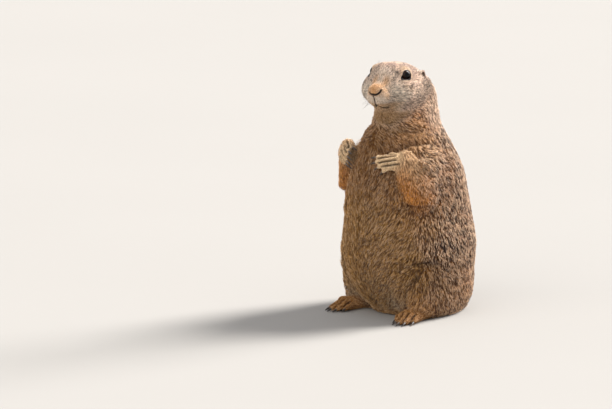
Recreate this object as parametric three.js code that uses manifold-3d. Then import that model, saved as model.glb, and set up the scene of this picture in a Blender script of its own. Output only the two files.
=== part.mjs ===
// A prairie dog sitting upright on its haunches, its forepaws held before its chest and its
// head turned to its left, as a life-size museum model. Millimetres, +Z up. The animal faces
// -Y and its left side is +X. The skin is the outer face of the coat.
import * as THREE from "three";
import { mergeVertices } from "three/addons/utils/BufferGeometryUtils.js";
import Module from "manifold-3d";

// Driving dimensions, in millimetres and degrees.
const SIT_HEIGHT = 238;
const EYE_HEIGHT = 228;
const GAP = 0.3;
const HEAD_FORWARD = 21.5;
const HEAD_TURN = 19;
const HEAD_NOD = 3;
const EYE_SPREAD = 14.8;
const EYE_BACK = -2.4;
const EYE_RADIUS = 6;
const LID_THICKNESS = 0.9;
const NOSE_REACH = 34;
const NOSE_DROP = 10.5;
const CHEEK_SPREAD = 14;
const BELLY_RADIUS = 63;
const BELLY_HEIGHT = 62;
const CHEST_HEIGHT = 112;
const SHOULDER_HEIGHT = 145;
const THIGH_SPREAD = 37;
const SHOULDER_RADIUS = 17;
const ELBOW_RADIUS = 15;
const WRIST_RADIUS = 9;
const TAIL_REACH = 84;
const TAIL_RADIUS = 12;
const DIGITS = 5;

const LEFT = 1;
const RIGHT = -1;
const SIDES = { left: LEFT, right: RIGHT };

const COLOURS = {
  face: 0xa58f80,
  ear: 0xb39c89,
  neck: 0xa98f74,
  body: 0x927654,
  thigh: 0x8f755c,
  arm: 0xb38a58,
  paw: 0xc7a67c,
  foot: 0x94755a,
  tail: 0xa07c55,
  tailTip: 0x3d3029,
  eye: 0x120d0a,
  claw: 0x3a3230,
};

const wasm = await Module();
wasm.setup();

const V = (x, y, z) => new THREE.Vector3(x, y, z);
const radians = THREE.MathUtils.degToRad;

// Fields: each takes a point and gives about its distance outside a form, negative inside.

function ellipsoid(centre, radii) {
  const least = Math.min(radii.x, radii.y, radii.z);
  return (p) => {
    const x = (p.x - centre.x) / radii.x;
    const y = (p.y - centre.y) / radii.y;
    const z = (p.z - centre.z) / radii.z;
    const share = Math.hypot(x, y, z);
    const slope = Math.hypot(x / radii.x, y / radii.y, z / radii.z);
    return slope < 1e-9 ? -least : (share * (share - 1)) / slope;
  };
}

function limb(start, end, startRadius, endRadius) {
  const along = end.clone().sub(start);
  const nearest = V(0, 0, 0);
  return (p) => {
    const t = nearest.copy(p).sub(start).dot(along) / along.lengthSq();
    const share = THREE.MathUtils.clamp(t, 0, 1);
    nearest.copy(start).addScaledVector(along, share);
    return p.distanceTo(nearest) - THREE.MathUtils.lerp(startRadius, endRadius, share);
  };
}

// Joins forms with a fillet of about the given width.
function blend(width, ...fields) {
  return (p) =>
    fields.reduce((joined, field) => {
      const next = field(p);
      if (joined === null) return next;
      const near = Math.max(width - Math.abs(joined - next), 0) / width;
      return Math.min(joined, next) - (near * near * width) / 4;
    }, null);
}

function placed(field, matrix) {
  const back = matrix.clone().invert();
  const local = V(0, 0, 0);
  return (p) => field(local.copy(p).applyMatrix4(back));
}

// The head's own frame: x to its left, y to its back and z up, from between the eyes.
const headFrame = new THREE.Matrix4()
  .makeTranslation(0, -HEAD_FORWARD, EYE_HEIGHT)
  .multiply(new THREE.Matrix4().makeRotationZ(radians(HEAD_TURN)))
  .multiply(new THREE.Matrix4().makeRotationX(radians(HEAD_NOD)));
const headPoint = (x, y, z) => V(x, y, z).applyMatrix4(headFrame);
const headDirection = (x, y, z) => V(x, y, z).transformDirection(headFrame);

function headForm() {
  const crown = SIT_HEIGHT - EYE_HEIGHT;
  const cranium = ellipsoid(V(0, 9, crown - 20.5), V(21.5, 24.5, 18.5));
  const forehead = ellipsoid(V(0, -3.5, -4), V(15, 15, 12.5));
  const bridge = limb(V(0, -8, -12.5), V(0, -24.5, -14.5), 13.2, 9.4);
  const nose = ellipsoid(V(0, -NOSE_REACH + 4.6, -NOSE_DROP), V(6.6, 4.6, 4.3));
  const jaw = limb(V(0, 4, -23), V(0, -18.5, -29.5), 12.5, 5.8);
  const pair = (x, y, z, radii) =>
    blend(2, ellipsoid(V(x, y, z), radii), ellipsoid(V(-x, y, z), radii));
  const cheeks = pair(CHEEK_SPREAD, 0, -16, V(15, 20, 14));
  const lips = pair(5, -22.6, -19.4, V(7.4, 9.4, 7));
  const brows = pair(10.5, -0.5, 1.4, V(8, 11, 7.4));
  const lid = EYE_RADIUS + LID_THICKNESS;
  const lids = pair(EYE_SPREAD, EYE_BACK, 0, V(lid, lid, lid));
  const skull = blend(3, blend(9, cranium, forehead, bridge, jaw, cheeks), brows);
  return blend(2.5, blend(4.5, skull, lips, nose), lids);
}

function bodyForm() {
  const belly = ellipsoid(V(0, 1, BELLY_HEIGHT), V(BELLY_RADIUS, BELLY_RADIUS, 70));
  const chest = ellipsoid(V(0, -2, CHEST_HEIGHT), V(57, 56, 66));
  const rump = ellipsoid(V(0, 17, 20), V(51, 45, 38));
  const neck = limb(V(0, -2, 158), V(0, 3.5, 202), 36, 23.5);
  const throat = limb(V(0, -22, 158), V(4, -23, 190), 23, 14);
  const trunk = blend(16, belly, chest, rump, neck, throat);
  const thighs = [LEFT, RIGHT].map((side) =>
    ellipsoid(V(side * THIGH_SPREAD, -4, 28), V(23, 40, 32)),
  );
  return blend(11, blend(9, trunk, ...thighs), placed(headForm(), headFrame));
}

// Joints of the forelegs.
const shoulder = (side) => V(side * 35, -7, SHOULDER_HEIGHT);
const elbow = (side) => V(side * 48, -25, 118);
const wrist = (side) => V(side * 38, -43, 151);

const wholeBody = bodyForm();

// Geometry from rings of points between two poles, closed.
function ringGeometry(startPole, rings, endPole) {
  const sides = rings[0].length;
  const points = [startPole, ...rings.flat(), endPole];
  const last = points.length - 1;
  const index = [];
  for (let k = 0; k < sides; k++) {
    const next = (k + 1) % sides;
    index.push(0, 1 + next, 1 + k);
    for (let r = 0; r + 1 < rings.length; r++) {
      const low = 1 + r * sides;
      const high = low + sides;
      index.push(low + k, low + next, high + next, low + k, high + next, high + k);
    }
    const top = last - sides;
    index.push(top + k, top + next, last);
  }
  const geometry = new THREE.BufferGeometry();
  geometry.setFromPoints(points);
  geometry.setIndex(index);
  return geometry;
}

// Where a ray from inside a field leaves it, at the given level, or the reach if it doesn't.
function leavesAt(field, origin, direction, reach, level = 0) {
  const step = 0.8;
  const halvings = 24;
  const p = V(0, 0, 0);
  const value = (t) => field(p.copy(origin).addScaledVector(direction, t)) - level;
  let inside = 0;
  while (value(inside + step) < 0) {
    inside += step;
    if (inside > reach) return origin.clone().addScaledVector(direction, reach);
  }
  let outside = inside + step;
  for (let k = 0; k < halvings; k++) {
    const middle = (inside + outside) / 2;
    if (value(middle) < 0) inside = middle;
    else outside = middle;
  }
  return origin.clone().addScaledVector(direction, inside);
}

// Wraps a field in rings of rays. The rings stand across a spine from one end to the other.
// An end with a fan is rounded off by more rings, and one without is flat.
function wrap(field, { start, end, rings, sides, reach, side = V(1, 0, 0), level = 0 }) {
  const station = (t) => {
    const heading = start.heading.clone().lerp(end.heading, t).normalize();
    const across = side.clone().addScaledVector(heading, -side.dot(heading)).normalize();
    const origin = start.at.clone().lerp(end.at, t);
    return { origin, heading, across, over: heading.clone().cross(across) };
  };
  const cast = ({ origin, heading, across, over }, tilt, turn) => {
    const out = across.clone().multiplyScalar(Math.cos(turn));
    out.addScaledVector(over, Math.sin(turn)).multiplyScalar(Math.sin(tilt));
    return leavesAt(field, origin, out.addScaledVector(heading, Math.cos(tilt)), reach, level);
  };
  const ring = (place, tilt) =>
    Array.from({ length: sides }, (_, k) => cast(place, tilt, (2 * Math.PI * k) / sides));
  const first = station(0);
  const last = station(1);
  const quarter = Math.PI / 2;
  const all = [];
  for (let k = 1; k < start.fan; k++) all.push(ring(first, Math.PI - (k / start.fan) * quarter));
  for (let k = 0; k <= rings; k++) all.push(ring(station(k / rings), quarter));
  for (let k = end.fan - 1; k > 0; k--) all.push(ring(last, (k / end.fan) * quarter));
  const startPole = start.fan ? cast(first, Math.PI, 0) : start.at;
  const endPole = end.fan ? cast(last, 0, 0) : end.at;
  return ringGeometry(startPole, all, endPole);
}

// A tube along a smooth path, its radii eased along it. Its ends are round, flat or a point.
function tube({ path, radii, sides, steps, flat = 1, up = V(0, 0, 1), ends = ["round", "round"] }) {
  const curve = new THREE.CatmullRomCurve3(path, false, "centripetal");
  const radiusAt = (t) => {
    const place = t * (radii.length - 1);
    const low = Math.min(Math.floor(place), radii.length - 2);
    const share = THREE.MathUtils.smoothstep(place - low, 0, 1);
    return THREE.MathUtils.lerp(radii[low], radii[low + 1], share);
  };
  const rings = [];
  const ring = (t, shift, share) => {
    const heading = curve.getTangent(t);
    const across = up.clone().cross(heading).normalize();
    const over = heading.clone().cross(across);
    const centre = curve.getPoint(t).addScaledVector(heading, shift);
    const radius = radiusAt(t) * share;
    rings.push(
      Array.from({ length: sides }, (_, k) => {
        const turn = (2 * Math.PI * k) / sides;
        const point = centre.clone().addScaledVector(across, radius * Math.cos(turn));
        return point.addScaledVector(over, radius * flat * Math.sin(turn));
      }),
    );
    return centre;
  };
  const domes = [0.45, 0.82];
  const [start, end] = ends;
  if (start === "round") {
    for (const share of domes) ring(0, -radiusAt(0) * Math.sqrt(1 - share * share), share);
  }
  for (let k = 0; k <= steps; k++) {
    if (end === "point" && k === steps) break;
    ring(k / steps, 0, 1);
  }
  if (end === "round") {
    for (const share of [...domes].reverse()) {
      ring(1, radiusAt(1) * Math.sqrt(1 - share * share), share);
    }
  }
  const startPole = curve.getPoint(0);
  if (start === "round") startPole.addScaledVector(curve.getTangent(0), -radiusAt(0));
  const endPole = curve.getPoint(1);
  if (end === "round") endPole.addScaledVector(curve.getTangent(1), radiusAt(1));
  return ringGeometry(startPole, rings, endPole);
}

// Solids for cutting and joining.

function solid(geometry) {
  const bare = geometry.clone();
  bare.deleteAttribute("normal");
  bare.deleteAttribute("uv");
  const merged = mergeVertices(bare, 1e-4);
  const mesh = new wasm.Mesh({
    numProp: 3,
    vertProperties: new Float32Array(merged.attributes.position.array),
    triVerts: new Uint32Array(merged.index.array),
  });
  const made = new wasm.Manifold(mesh);
  if (made.volume() < 0) throw new Error("a form is inside out");
  return made;
}

function geometryOf(made) {
  const mesh = made.getMesh();
  const geometry = new THREE.BufferGeometry();
  geometry.setAttribute("position", new THREE.BufferAttribute(mesh.vertProperties, 3));
  geometry.setIndex(new THREE.BufferAttribute(mesh.triVerts, 1));
  return geometry;
}

const largest = (made) => made.decompose().reduce((a, b) => (a.volume() > b.volume() ? a : b));

// A box big enough to stand for all that lies beyond a plane.
function beyond(point, normal) {
  const size = 600;
  const box = new THREE.BoxGeometry(size, size, size).translate(0, 0, size / 2);
  const turn = new THREE.Quaternion().setFromUnitVectors(V(0, 0, 1), normal.clone().normalize());
  return solid(box.applyQuaternion(turn).translate(point.x, point.y, point.z));
}

// Cuts a solid off at a plane, half a gap short of it.
function cutAt(made, { point, normal }) {
  return made.subtract(beyond(point.clone().addScaledVector(normal, -GAP / 2), normal));
}
const onFloor = (made) => made.subtract(beyond(V(0, 0, 0), V(0, 0, -1)));

function ball(centre, radii, turn = new THREE.Euler(), detail = [18, 12]) {
  const sphere = new THREE.SphereGeometry(1, ...detail).scale(radii.x, radii.y, radii.z);
  const placing = new THREE.Matrix4().makeRotationFromEuler(turn).setPosition(centre);
  return solid(sphere.applyMatrix4(placing));
}

// An elliptical plug that reaches out sideways from the body, to part a limb's root from it.
function plug(side, { from, y, z, halfLength, halfHeight, turn = 0, spare = 0 }) {
  const reach = 80;
  const rod = new THREE.CylinderGeometry(1, 1, reach, 32).rotateZ(Math.PI / 2);
  rod.scale(1, halfLength + spare, halfHeight + spare).rotateX(radians(turn));
  rod.translate(from - spare + reach / 2, y, z);
  if (side === RIGHT) rod.rotateZ(Math.PI).translate(0, 2 * y, 0);
  return solid(rod);
}

const nodes = new THREE.Group();

function addNode(name, made, colour, roughness = 0.95) {
  const material = new THREE.MeshStandardMaterial({ color: colour, roughness, metalness: 0 });
  const mesh = new THREE.Mesh(geometryOf(largest(made)), material);
  mesh.name = name;
  nodes.add(mesh);
}

// Planes that part one length of the body from the next. Each normal points to the far length.
const nape = { point: headPoint(0, 7, -25), normal: headDirection(0, -0.53, 0.848) };
const collar = { point: V(0, -4, 173), normal: V(0, -0.26, 0.97).normalize() };
const elbowPlane = (side) => jointPlane(shoulder(side), elbow(side), wrist(side));
const flipped = ({ point, normal }) => ({ point, normal: normal.clone().negate() });

// The plane across a bent joint, as far from the line of one bone as from that of the next.
function jointPlane(before, joint, after) {
  const back = before.clone().sub(joint).normalize();
  return { point: joint, normal: after.clone().sub(joint).normalize().sub(back).normalize() };
}

// An end of a wrapped form that stops flat at a plane, half a gap short of it.
function flatEnd({ point, normal }, sign) {
  return { at: point.clone().addScaledVector(normal, (sign * GAP) / 2), heading: normal, fan: 0 };
}

// Where the thighs and the upper arms part from the torso.
const THIGH_PLUG = { from: 25, y: -5, z: 24, halfLength: 43, halfHeight: 36 };
const ARM_PLUG = { from: 31, y: -12, z: 138, halfLength: 19, halfHeight: 29, turn: -24 };

// The torso and thighs in one. A level above 0 stands off from them all round.
function trunkSolid(level) {
  const trunk = wrap(wholeBody, {
    start: { at: V(0, 2, 42), heading: V(0, 0, 1), fan: 8 },
    end: flatEnd(collar, -1),
    rings: 16,
    sides: 44,
    reach: 90,
    level,
  });
  return onFloor(solid(trunk));
}

function addTorso(trunkSkin) {
  const trunk = trunkSolid(0);
  let torso = trunk;
  for (const [name, side] of Object.entries(SIDES)) {
    const thigh = trunk.intersect(plug(side, { ...THIGH_PLUG, spare: -GAP / 2 }));
    addNode(`thigh_${name}`, thigh, COLOURS.thigh);
    const shoulderPlug = plug(side, { ...ARM_PLUG, spare: -GAP / 2 });
    const radii = [SHOULDER_RADIUS, ELBOW_RADIUS];
    const upper = solid(tube({ path: [shoulder(side), elbow(side)], radii, sides: 16, steps: 3 }));
    const arm = trunk.add(upper).subtract(trunkSkin.subtract(shoulderPlug));
    addNode(`upper_arm_${name}`, cutAt(arm, elbowPlane(side)), COLOURS.arm);
    torso = torso.subtract(plug(side, { ...THIGH_PLUG, spare: GAP / 2 }));
    torso = torso.subtract(plug(side, { ...ARM_PLUG, spare: GAP / 2 }));
  }
  addNode("torso", torso, COLOURS.body);
}

function neckSolid(level) {
  const form = wrap(wholeBody, {
    start: flatEnd(collar, 1),
    end: flatEnd(nape, -1),
    rings: 7,
    sides: 44,
    reach: 60,
    level,
  });
  return cutAt(solid(form), nape);
}

// The eye's axis, the line from corner to corner of its lids, and the line across them.
function eyeAxes(side) {
  const out = headDirection(side * 0.86, -0.5, 0.1).normalize();
  const toCorner = headDirection(-side * 0.5, -0.75, -0.42);
  toCorner.addScaledVector(out, -toCorner.dot(out)).normalize();
  return { out, toCorner, across: out.clone().cross(toCorner) };
}
const eyeCentre = (side) => headPoint(side * EYE_SPREAD, EYE_BACK, 0);

// The opening between the lids: round, with a long corner towards the nose.
function lidOpening(side) {
  const { out, toCorner, across } = eyeAxes(side);
  const corner = 7.2;
  const back = -4.5;
  const top = 4.5;
  const low = -4.2;
  const almond = new THREE.Shape();
  almond.moveTo(corner, 0);
  almond.bezierCurveTo(corner - 3, 0.6, corner - 3.4, top, 0, top);
  almond.bezierCurveTo(back * 0.6, top, back, top * 0.6, back, 0);
  almond.bezierCurveTo(back, low * 0.6, back * 0.6, low, 0, low);
  almond.bezierCurveTo(corner - 3.8, low, corner - 3.4, -1, corner, 0);
  const depth = 12;
  const cutter = new THREE.ExtrudeGeometry(almond, { depth, bevelEnabled: false, curveSegments: 5 });
  const upward = across.dot(headDirection(0, 0, 1)) > 0 ? across : across.clone().negate();
  const third = toCorner.clone().cross(upward);
  const placing = new THREE.Matrix4().makeBasis(toCorner, upward, third);
  const outward = third.dot(out) > 0;
  if (!outward) cutter.translate(0, 0, -depth);
  const start = outward ? 2.2 : -2.2;
  return solid(cutter.translate(0, 0, start).applyMatrix4(placing.setPosition(eyeCentre(side))));
}

// Points on the face where rays from inside the muzzle leave it.
const muzzleCore = headPoint(0, -13, -18);
const muzzleForward = headDirection(0, -1, 0);
const facePoint = (x, z) =>
  leavesAt(wholeBody, muzzleCore, headDirection(x, -1, z).normalize(), 40);

function groove(points, radius) {
  const steps = points.length * 2;
  const radii = [radius * 0.7, radius, radius * 0.7];
  return solid(tube({ path: points, radii, sides: 6, steps, up: muzzleForward }));
}

function mouthCut() {
  const shares = [-1, -0.75, -0.4, 0, 0.4, 0.75, 1];
  return groove(shares.map((t) => facePoint(1.15 * t, -0.49 - 0.6 * Math.abs(t) ** 1.5)), 0.9);
}

function philtrumCut() {
  return groove([0.2, 0, -0.2, -0.45].map((z) => facePoint(0, z)), 0.55);
}

function nostrilCut(side) {
  const wing = [[0.03, 0.23], [0.15, 0.24], [0.27, 0.31], [0.34, 0.42]];
  return groove(wing.map(([x, z]) => facePoint(side * x, z)), 0.95);
}

function headSolid(level) {
  const form = wrap(wholeBody, {
    start: flatEnd(nape, 1),
    end: { at: headPoint(0, -13, -16), heading: headDirection(0, -0.94, 0.34), fan: 13 },
    rings: 16,
    sides: 46,
    side: headDirection(1, 0, 0),
    reach: 60,
    level,
  });
  return cutAt(solid(form), flipped(nape));
}

function addHead() {
  let head = headSolid(0).subtract(mouthCut()).subtract(philtrumCut());
  const socket = EYE_RADIUS + GAP;
  for (const side of [LEFT, RIGHT]) {
    head = head.subtract(nostrilCut(side)).subtract(lidOpening(side));
    head = head.subtract(ball(eyeCentre(side), V(socket, socket, socket)));
  }
  addNode("head", head, COLOURS.face);
}

function addEyes() {
  for (const [name, side] of Object.entries(SIDES)) {
    const eye = ball(eyeCentre(side), V(EYE_RADIUS, EYE_RADIUS, EYE_RADIUS), new THREE.Euler(), [16, 10]);
    addNode(`eye_${name}`, eye, COLOURS.eye, 0.1);
  }
}

// An ear is a low round flap, hollowed to a cup that opens forwards and outwards.
function addEars() {
  const around = headSolid(GAP).add(neckSolid(GAP));
  const core = headPoint(0, 14, -8);
  for (const [name, side] of Object.entries(SIDES)) {
    const turn = radians(HEAD_TURN - side * 38);
    const opening = V(side, 0, 0).applyAxisAngle(V(0, 0, 1), turn);
    const outward = headDirection(side * 0.97, 0.24, 0.09).normalize();
    const centre = leavesAt(wholeBody, core, outward, 40).addScaledVector(outward, -0.8);
    const euler = new THREE.Euler(0, 0, turn);
    const flap = ball(centre, V(4.2, 5.6, 6.8), euler, [16, 11]);
    const cupCentre = centre.clone().addScaledVector(opening, 3);
    const cup = ball(cupCentre, V(4, 4.4, 5.6), euler, [14, 9]);
    addNode(`ear_${name}`, flap.subtract(cup).subtract(around), COLOURS.ear);
  }
}

// A paw: a pad and five digits that spread from it, each with a claw of its own.
// The frame gives the way along the digits, up over them and across to the outer digit.
function addPaw(name, frame, size, trim) {
  const { root, heading, over, across } = frame;
  const at = (along, out, above) =>
    root
      .clone()
      .addScaledVector(heading, along)
      .addScaledVector(across, out)
      .addScaledVector(over, above);
  const pad = { radii: size.padRadii, flat: size.padFlat, sides: 10, steps: 4, up: over };
  const padPath = size.pad.map(([along, above]) => at(along, 0, above));
  let paw = solid(tube({ path: padPath, ...pad }));
  for (let digit = 0; digit < DIGITS; digit++) {
    const place = digit - (DIGITS - 1) / 2;
    const length = size.digitLength[digit];
    const curl = size.curl[digit];
    const fan = place * size.fan;
    const knuckle = size.knuckle - size.setBack[digit];
    const turned = (reach, rise) =>
      at(
        knuckle + reach * Math.cos(fan),
        place * size.spacing + reach * Math.sin(fan),
        size.level + rise,
      );
    const path = [
      turned(-3, 0),
      turned(length * 0.4, size.arch),
      turned(length * 0.8, size.arch * 0.2 - curl * 0.45),
      turned(length, -curl),
    ];
    const thin = digit === 0 ? 0.75 : 1;
    const girth = size.digitRadius * thin;
    const radii = [girth, girth * 1.05, girth * 0.78];
    const toe = tube({ path, radii, sides: 6, steps: 4, up: over, ends: ["round", "flat"] });
    paw = paw.add(solid(toe));
    const tip = new THREE.CatmullRomCurve3(path, false, "centripetal").getTangent(1);
    const claw = size.clawLength * thin;
    const clawAt = (share, drop) =>
      path[3]
        .clone()
        .addScaledVector(tip, GAP + claw * share)
        .addScaledVector(over, -drop * size.clawHook);
    const clawForm = tube({
      path: [clawAt(0, 0), clawAt(0.35, 0.02), clawAt(0.7, 0.35), clawAt(1, 1)],
      radii: [size.clawRadius, size.clawRadius * 0.8, 0.12],
      sides: 5,
      steps: 4,
      flat: 1.15,
      up: over,
      ends: ["flat", "point"],
    });
    addNode(`${name}_claw_${digit + 1}`, trim(solid(clawForm)), COLOURS.claw, 0.4);
  }
  addNode(name, trim(paw), size.colour);
}

const FOREPAW = {
  colour: COLOURS.paw,
  pad: [[0, 0], [5, 0.5], [10, 0]],
  padRadii: [8, 7.8, 6.8],
  padFlat: 0.72,
  digitLength: [4.5, 12.5, 12.5, 11, 8],
  setBack: [4, 0.4, 0, 0.6, 2.2],
  curl: [1.5, 1, 2.6, 4.5, 5.5],
  knuckle: 10.5,
  spacing: 3.4,
  fan: 0.07,
  level: 0,
  arch: 1.6,
  digitRadius: 2.3,
  clawLength: 7,
  clawHook: 2.4,
  clawRadius: 1.2,
};

const HIND_FOOT = {
  colour: COLOURS.foot,
  pad: [[0, 5], [16, 5.4], [38, 4.4]],
  padRadii: [9, 9.5, 9.4],
  padFlat: 0.72,
  digitLength: [10, 13, 14, 13, 9.5],
  setBack: [4, 0.8, 0, 1, 5],
  curl: [0.4, 0.4, 0.4, 0.4, 0.4],
  knuckle: 40,
  spacing: 3.9,
  fan: 0.085,
  level: 3.2,
  arch: 1.6,
  digitRadius: 2.7,
  clawLength: 6.5,
  clawHook: 1.2,
  clawRadius: 1.25,
};

// The forelegs bend up at the elbow, and the paws turn inwards at the wrist before the chest.
function addForelegs(bodySkin) {
  for (const [name, side] of Object.entries(SIDES)) {
    const heading = V(-side * 0.7, -0.71, 0.03).normalize();
    // The back of the paw faces forwards and outwards, so the outer digits hang lower.
    const tilt = V(side * 0.75, -0.5, 0.6);
    const over = tilt.addScaledVector(heading, -tilt.dot(heading)).normalize();
    const across = side === LEFT ? over.clone().cross(heading) : heading.clone().cross(over);
    const root = wrist(side);
    const wristPlane = jointPlane(elbow(side), root, root.clone().add(heading));
    const radii = [ELBOW_RADIUS, WRIST_RADIUS];
    const form = solid(tube({ path: [elbow(side), root], radii, sides: 16, steps: 5 }));
    const forearm = cutAt(cutAt(form, flipped(elbowPlane(side))), wristPlane);
    addNode(`forearm_${name}`, forearm.subtract(bodySkin), COLOURS.arm);
    const trim = (paw) => cutAt(paw, flipped(wristPlane)).subtract(bodySkin);
    addPaw(`forepaw_${name}`, { root, heading, over, across }, FOREPAW, trim);
  }
}

function addHindFeet(bodySkin) {
  const places = { left: { heel: V(37, -4, 0), turn: 16 }, right: { heel: V(-34, -10, 0), turn: -2 } };
  for (const [name, side] of Object.entries(SIDES)) {
    const { heel, turn } = places[name];
    const heading = V(0, -1, 0).applyAxisAngle(V(0, 0, 1), radians(turn));
    const over = V(0, 0, 1);
    const across = side === LEFT ? over.clone().cross(heading) : heading.clone().cross(over);
    const trim = (paw) => onFloor(paw.subtract(bodySkin));
    addPaw(`hind_foot_${name}`, { root: heel, heading, over, across }, HIND_FOOT, trim);
  }
}

// The tail leaves the rump, lies down on the floor and curls round to the right.
function addTail(bodySkin) {
  const laid = (right, back, height) => V(-right * TAIL_REACH, back * TAIL_REACH, height);
  const path = [
    V(-3, 44, 17),
    V(-12, 62, 12),
    laid(0.36, 0.9, 9.5),
    laid(0.62, 0.98, 8.5),
    laid(0.83, 0.95, 8),
  ];
  const radii = [0.75, 0.88, 1, 0.96, 0.58].map((share) => share * TAIL_RADIUS);
  const form = solid(tube({ path, radii, flat: 0.72, sides: 14, steps: 10 }));
  const fur = onFloor(form).subtract(bodySkin);
  const ring = { point: laid(0.57, 0.96, 8), normal: V(-1, 0.1, 0).normalize() };
  addNode("tail", cutAt(fur, ring), COLOURS.tail);
  addNode("tail_tip", cutAt(fur, flipped(ring)), COLOURS.tailTip);
}

addHead();
addEyes();
addEars();
addNode("neck", neckSolid(0), COLOURS.neck);
const bodySkin = trunkSolid(GAP);
addTorso(bodySkin);
addForelegs(bodySkin);
addHindFeet(bodySkin);
addTail(bodySkin);

// The origin is at the middle of the model's box, on the floor.
const box = new THREE.Box3().setFromObject(nodes);
const middle = box.getCenter(V(0, 0, 0));
nodes.position.set(-middle.x, -middle.y, 0);

export default nodes;
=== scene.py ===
"""A prairie dog that sits upright on its haunches, its forepaws held before its chest.

One skin covers the whole animal, and a coat of overlapping tufts grows from it. The eyes with
their lids, the claws and the whiskers are pieces of their own. Metres, +Z up; the animal's body
faces -Y and its left side is +X.
"""

import sys
import logging
import math
from collections.abc import Callable, Sequence
from dataclasses import dataclass, field
from enum import Enum
from functools import cached_property

import bpy
import numpy as np
from bpy.types import Material, Mesh, Node, NodeSocket, Object
from mathutils import Matrix, Vector
from mathutils.bvhtree import BVHTree
from mathutils.kdtree import KDTree


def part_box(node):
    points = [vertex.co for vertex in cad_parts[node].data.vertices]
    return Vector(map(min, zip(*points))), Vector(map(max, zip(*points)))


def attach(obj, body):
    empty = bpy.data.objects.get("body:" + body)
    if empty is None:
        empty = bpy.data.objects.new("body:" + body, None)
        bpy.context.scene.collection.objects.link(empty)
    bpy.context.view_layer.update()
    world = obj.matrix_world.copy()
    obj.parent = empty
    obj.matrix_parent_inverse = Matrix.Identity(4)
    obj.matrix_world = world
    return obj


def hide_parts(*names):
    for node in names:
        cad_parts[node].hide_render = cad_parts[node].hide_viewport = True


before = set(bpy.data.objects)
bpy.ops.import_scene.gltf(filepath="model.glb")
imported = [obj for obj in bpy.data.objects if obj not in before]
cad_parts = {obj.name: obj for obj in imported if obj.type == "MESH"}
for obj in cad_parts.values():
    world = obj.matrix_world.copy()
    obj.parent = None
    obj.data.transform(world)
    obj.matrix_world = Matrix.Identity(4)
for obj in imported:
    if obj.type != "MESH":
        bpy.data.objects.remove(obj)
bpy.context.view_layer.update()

LOG = logging.getLogger("prairie_dog")

Array = np.ndarray
Colour = tuple[float, float, float]
Place = tuple[float, float, float]
Range = tuple[float, float]

MM = 0.001
BODY = "root"
SIDES = {"left": 1, "right": -1}
DIGITS = 5
SEED = 1072
LOWEST_HAIR = 0.25 * MM
BAKE_MAP = "OFBake"
BAKE_PATCH = 0.003
FAR = 1e9

# Places in the body's axes, in millimetres, and the left one where there are two.
WRIST = (37, -42, 152)
HEEL = (36, -6, 8)
TAIL_PATH = ((-3, 44, 17), (-12, 62, 12), (-30, 76, 9.5), (-52, 82, 8.5), (-70, 80, 8))


def smooth_step(value: Array, low: float, high: float) -> Array:
    """Eases from 0 below low to 1 above high."""
    share = np.clip((value - low) / (high - low), 0, 1)
    return share * share * (3 - 2 * share)


def bell(distance: Array, width: float) -> Array:
    """Is 1 at distance 0 and falls off smoothly over about the given width."""
    return np.exp(-((distance / width) ** 2))


def unit(vectors: Array) -> Array:
    """Scales each vector to length 1."""
    return vectors / np.maximum(np.linalg.norm(vectors, axis=-1, keepdims=True), 1e-12)


def linear(colour: Colour) -> Array:
    """Gives an sRGB colour's linear values."""
    value = np.array(colour, float)
    return np.where(value <= 0.04045, value / 12.92, ((value + 0.055) / 1.055) ** 2.4)


def blend_to(colours: Array, colour: Colour, share: Array) -> Array:
    """Mixes a share of one sRGB colour into linear colours."""
    return colours + (linear(colour) - colours) * share[:, None]


def distances(points: Array, place: Sequence[float]) -> Array:
    """Gives how far each point is from a place."""
    return np.linalg.norm(points - np.array(place), axis=1)


def bearing(body: Array) -> Array:
    """Gives each point's angle round the body, in radians from its front towards its left."""
    return np.arctan2(body[:, 0], -body[:, 1])


def along_skin(ways: Array, normals: Array) -> Array:
    """Lays directions down along the skin, square to its normals."""
    return ways - normals * np.sum(ways * normals, axis=1)[:, None]


@dataclass(frozen=True)
class Waves:
    """A smooth random field, mostly from -1 to 1, that varies over about one scale length."""

    scale: float
    seed: int
    count: int = 14
    spread: Range = (0.7, 1.4)

    def at(self, points: Array) -> Array:
        """Sums sine waves of random directions and phases.

        Args:
            points: where to read the field, in the unit of its scale.

        Returns:
            The field's value at each point.
        """
        rng = np.random.default_rng(self.seed)
        ways = unit(rng.normal(size=(self.count, 3))) * 2 * math.pi / self.scale
        ways *= rng.uniform(*self.spread, self.count)[:, None]
        phases = rng.uniform(0, 2 * math.pi, self.count)
        return np.sin(points @ ways.T + phases).sum(axis=1) / math.sqrt(self.count)


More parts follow.
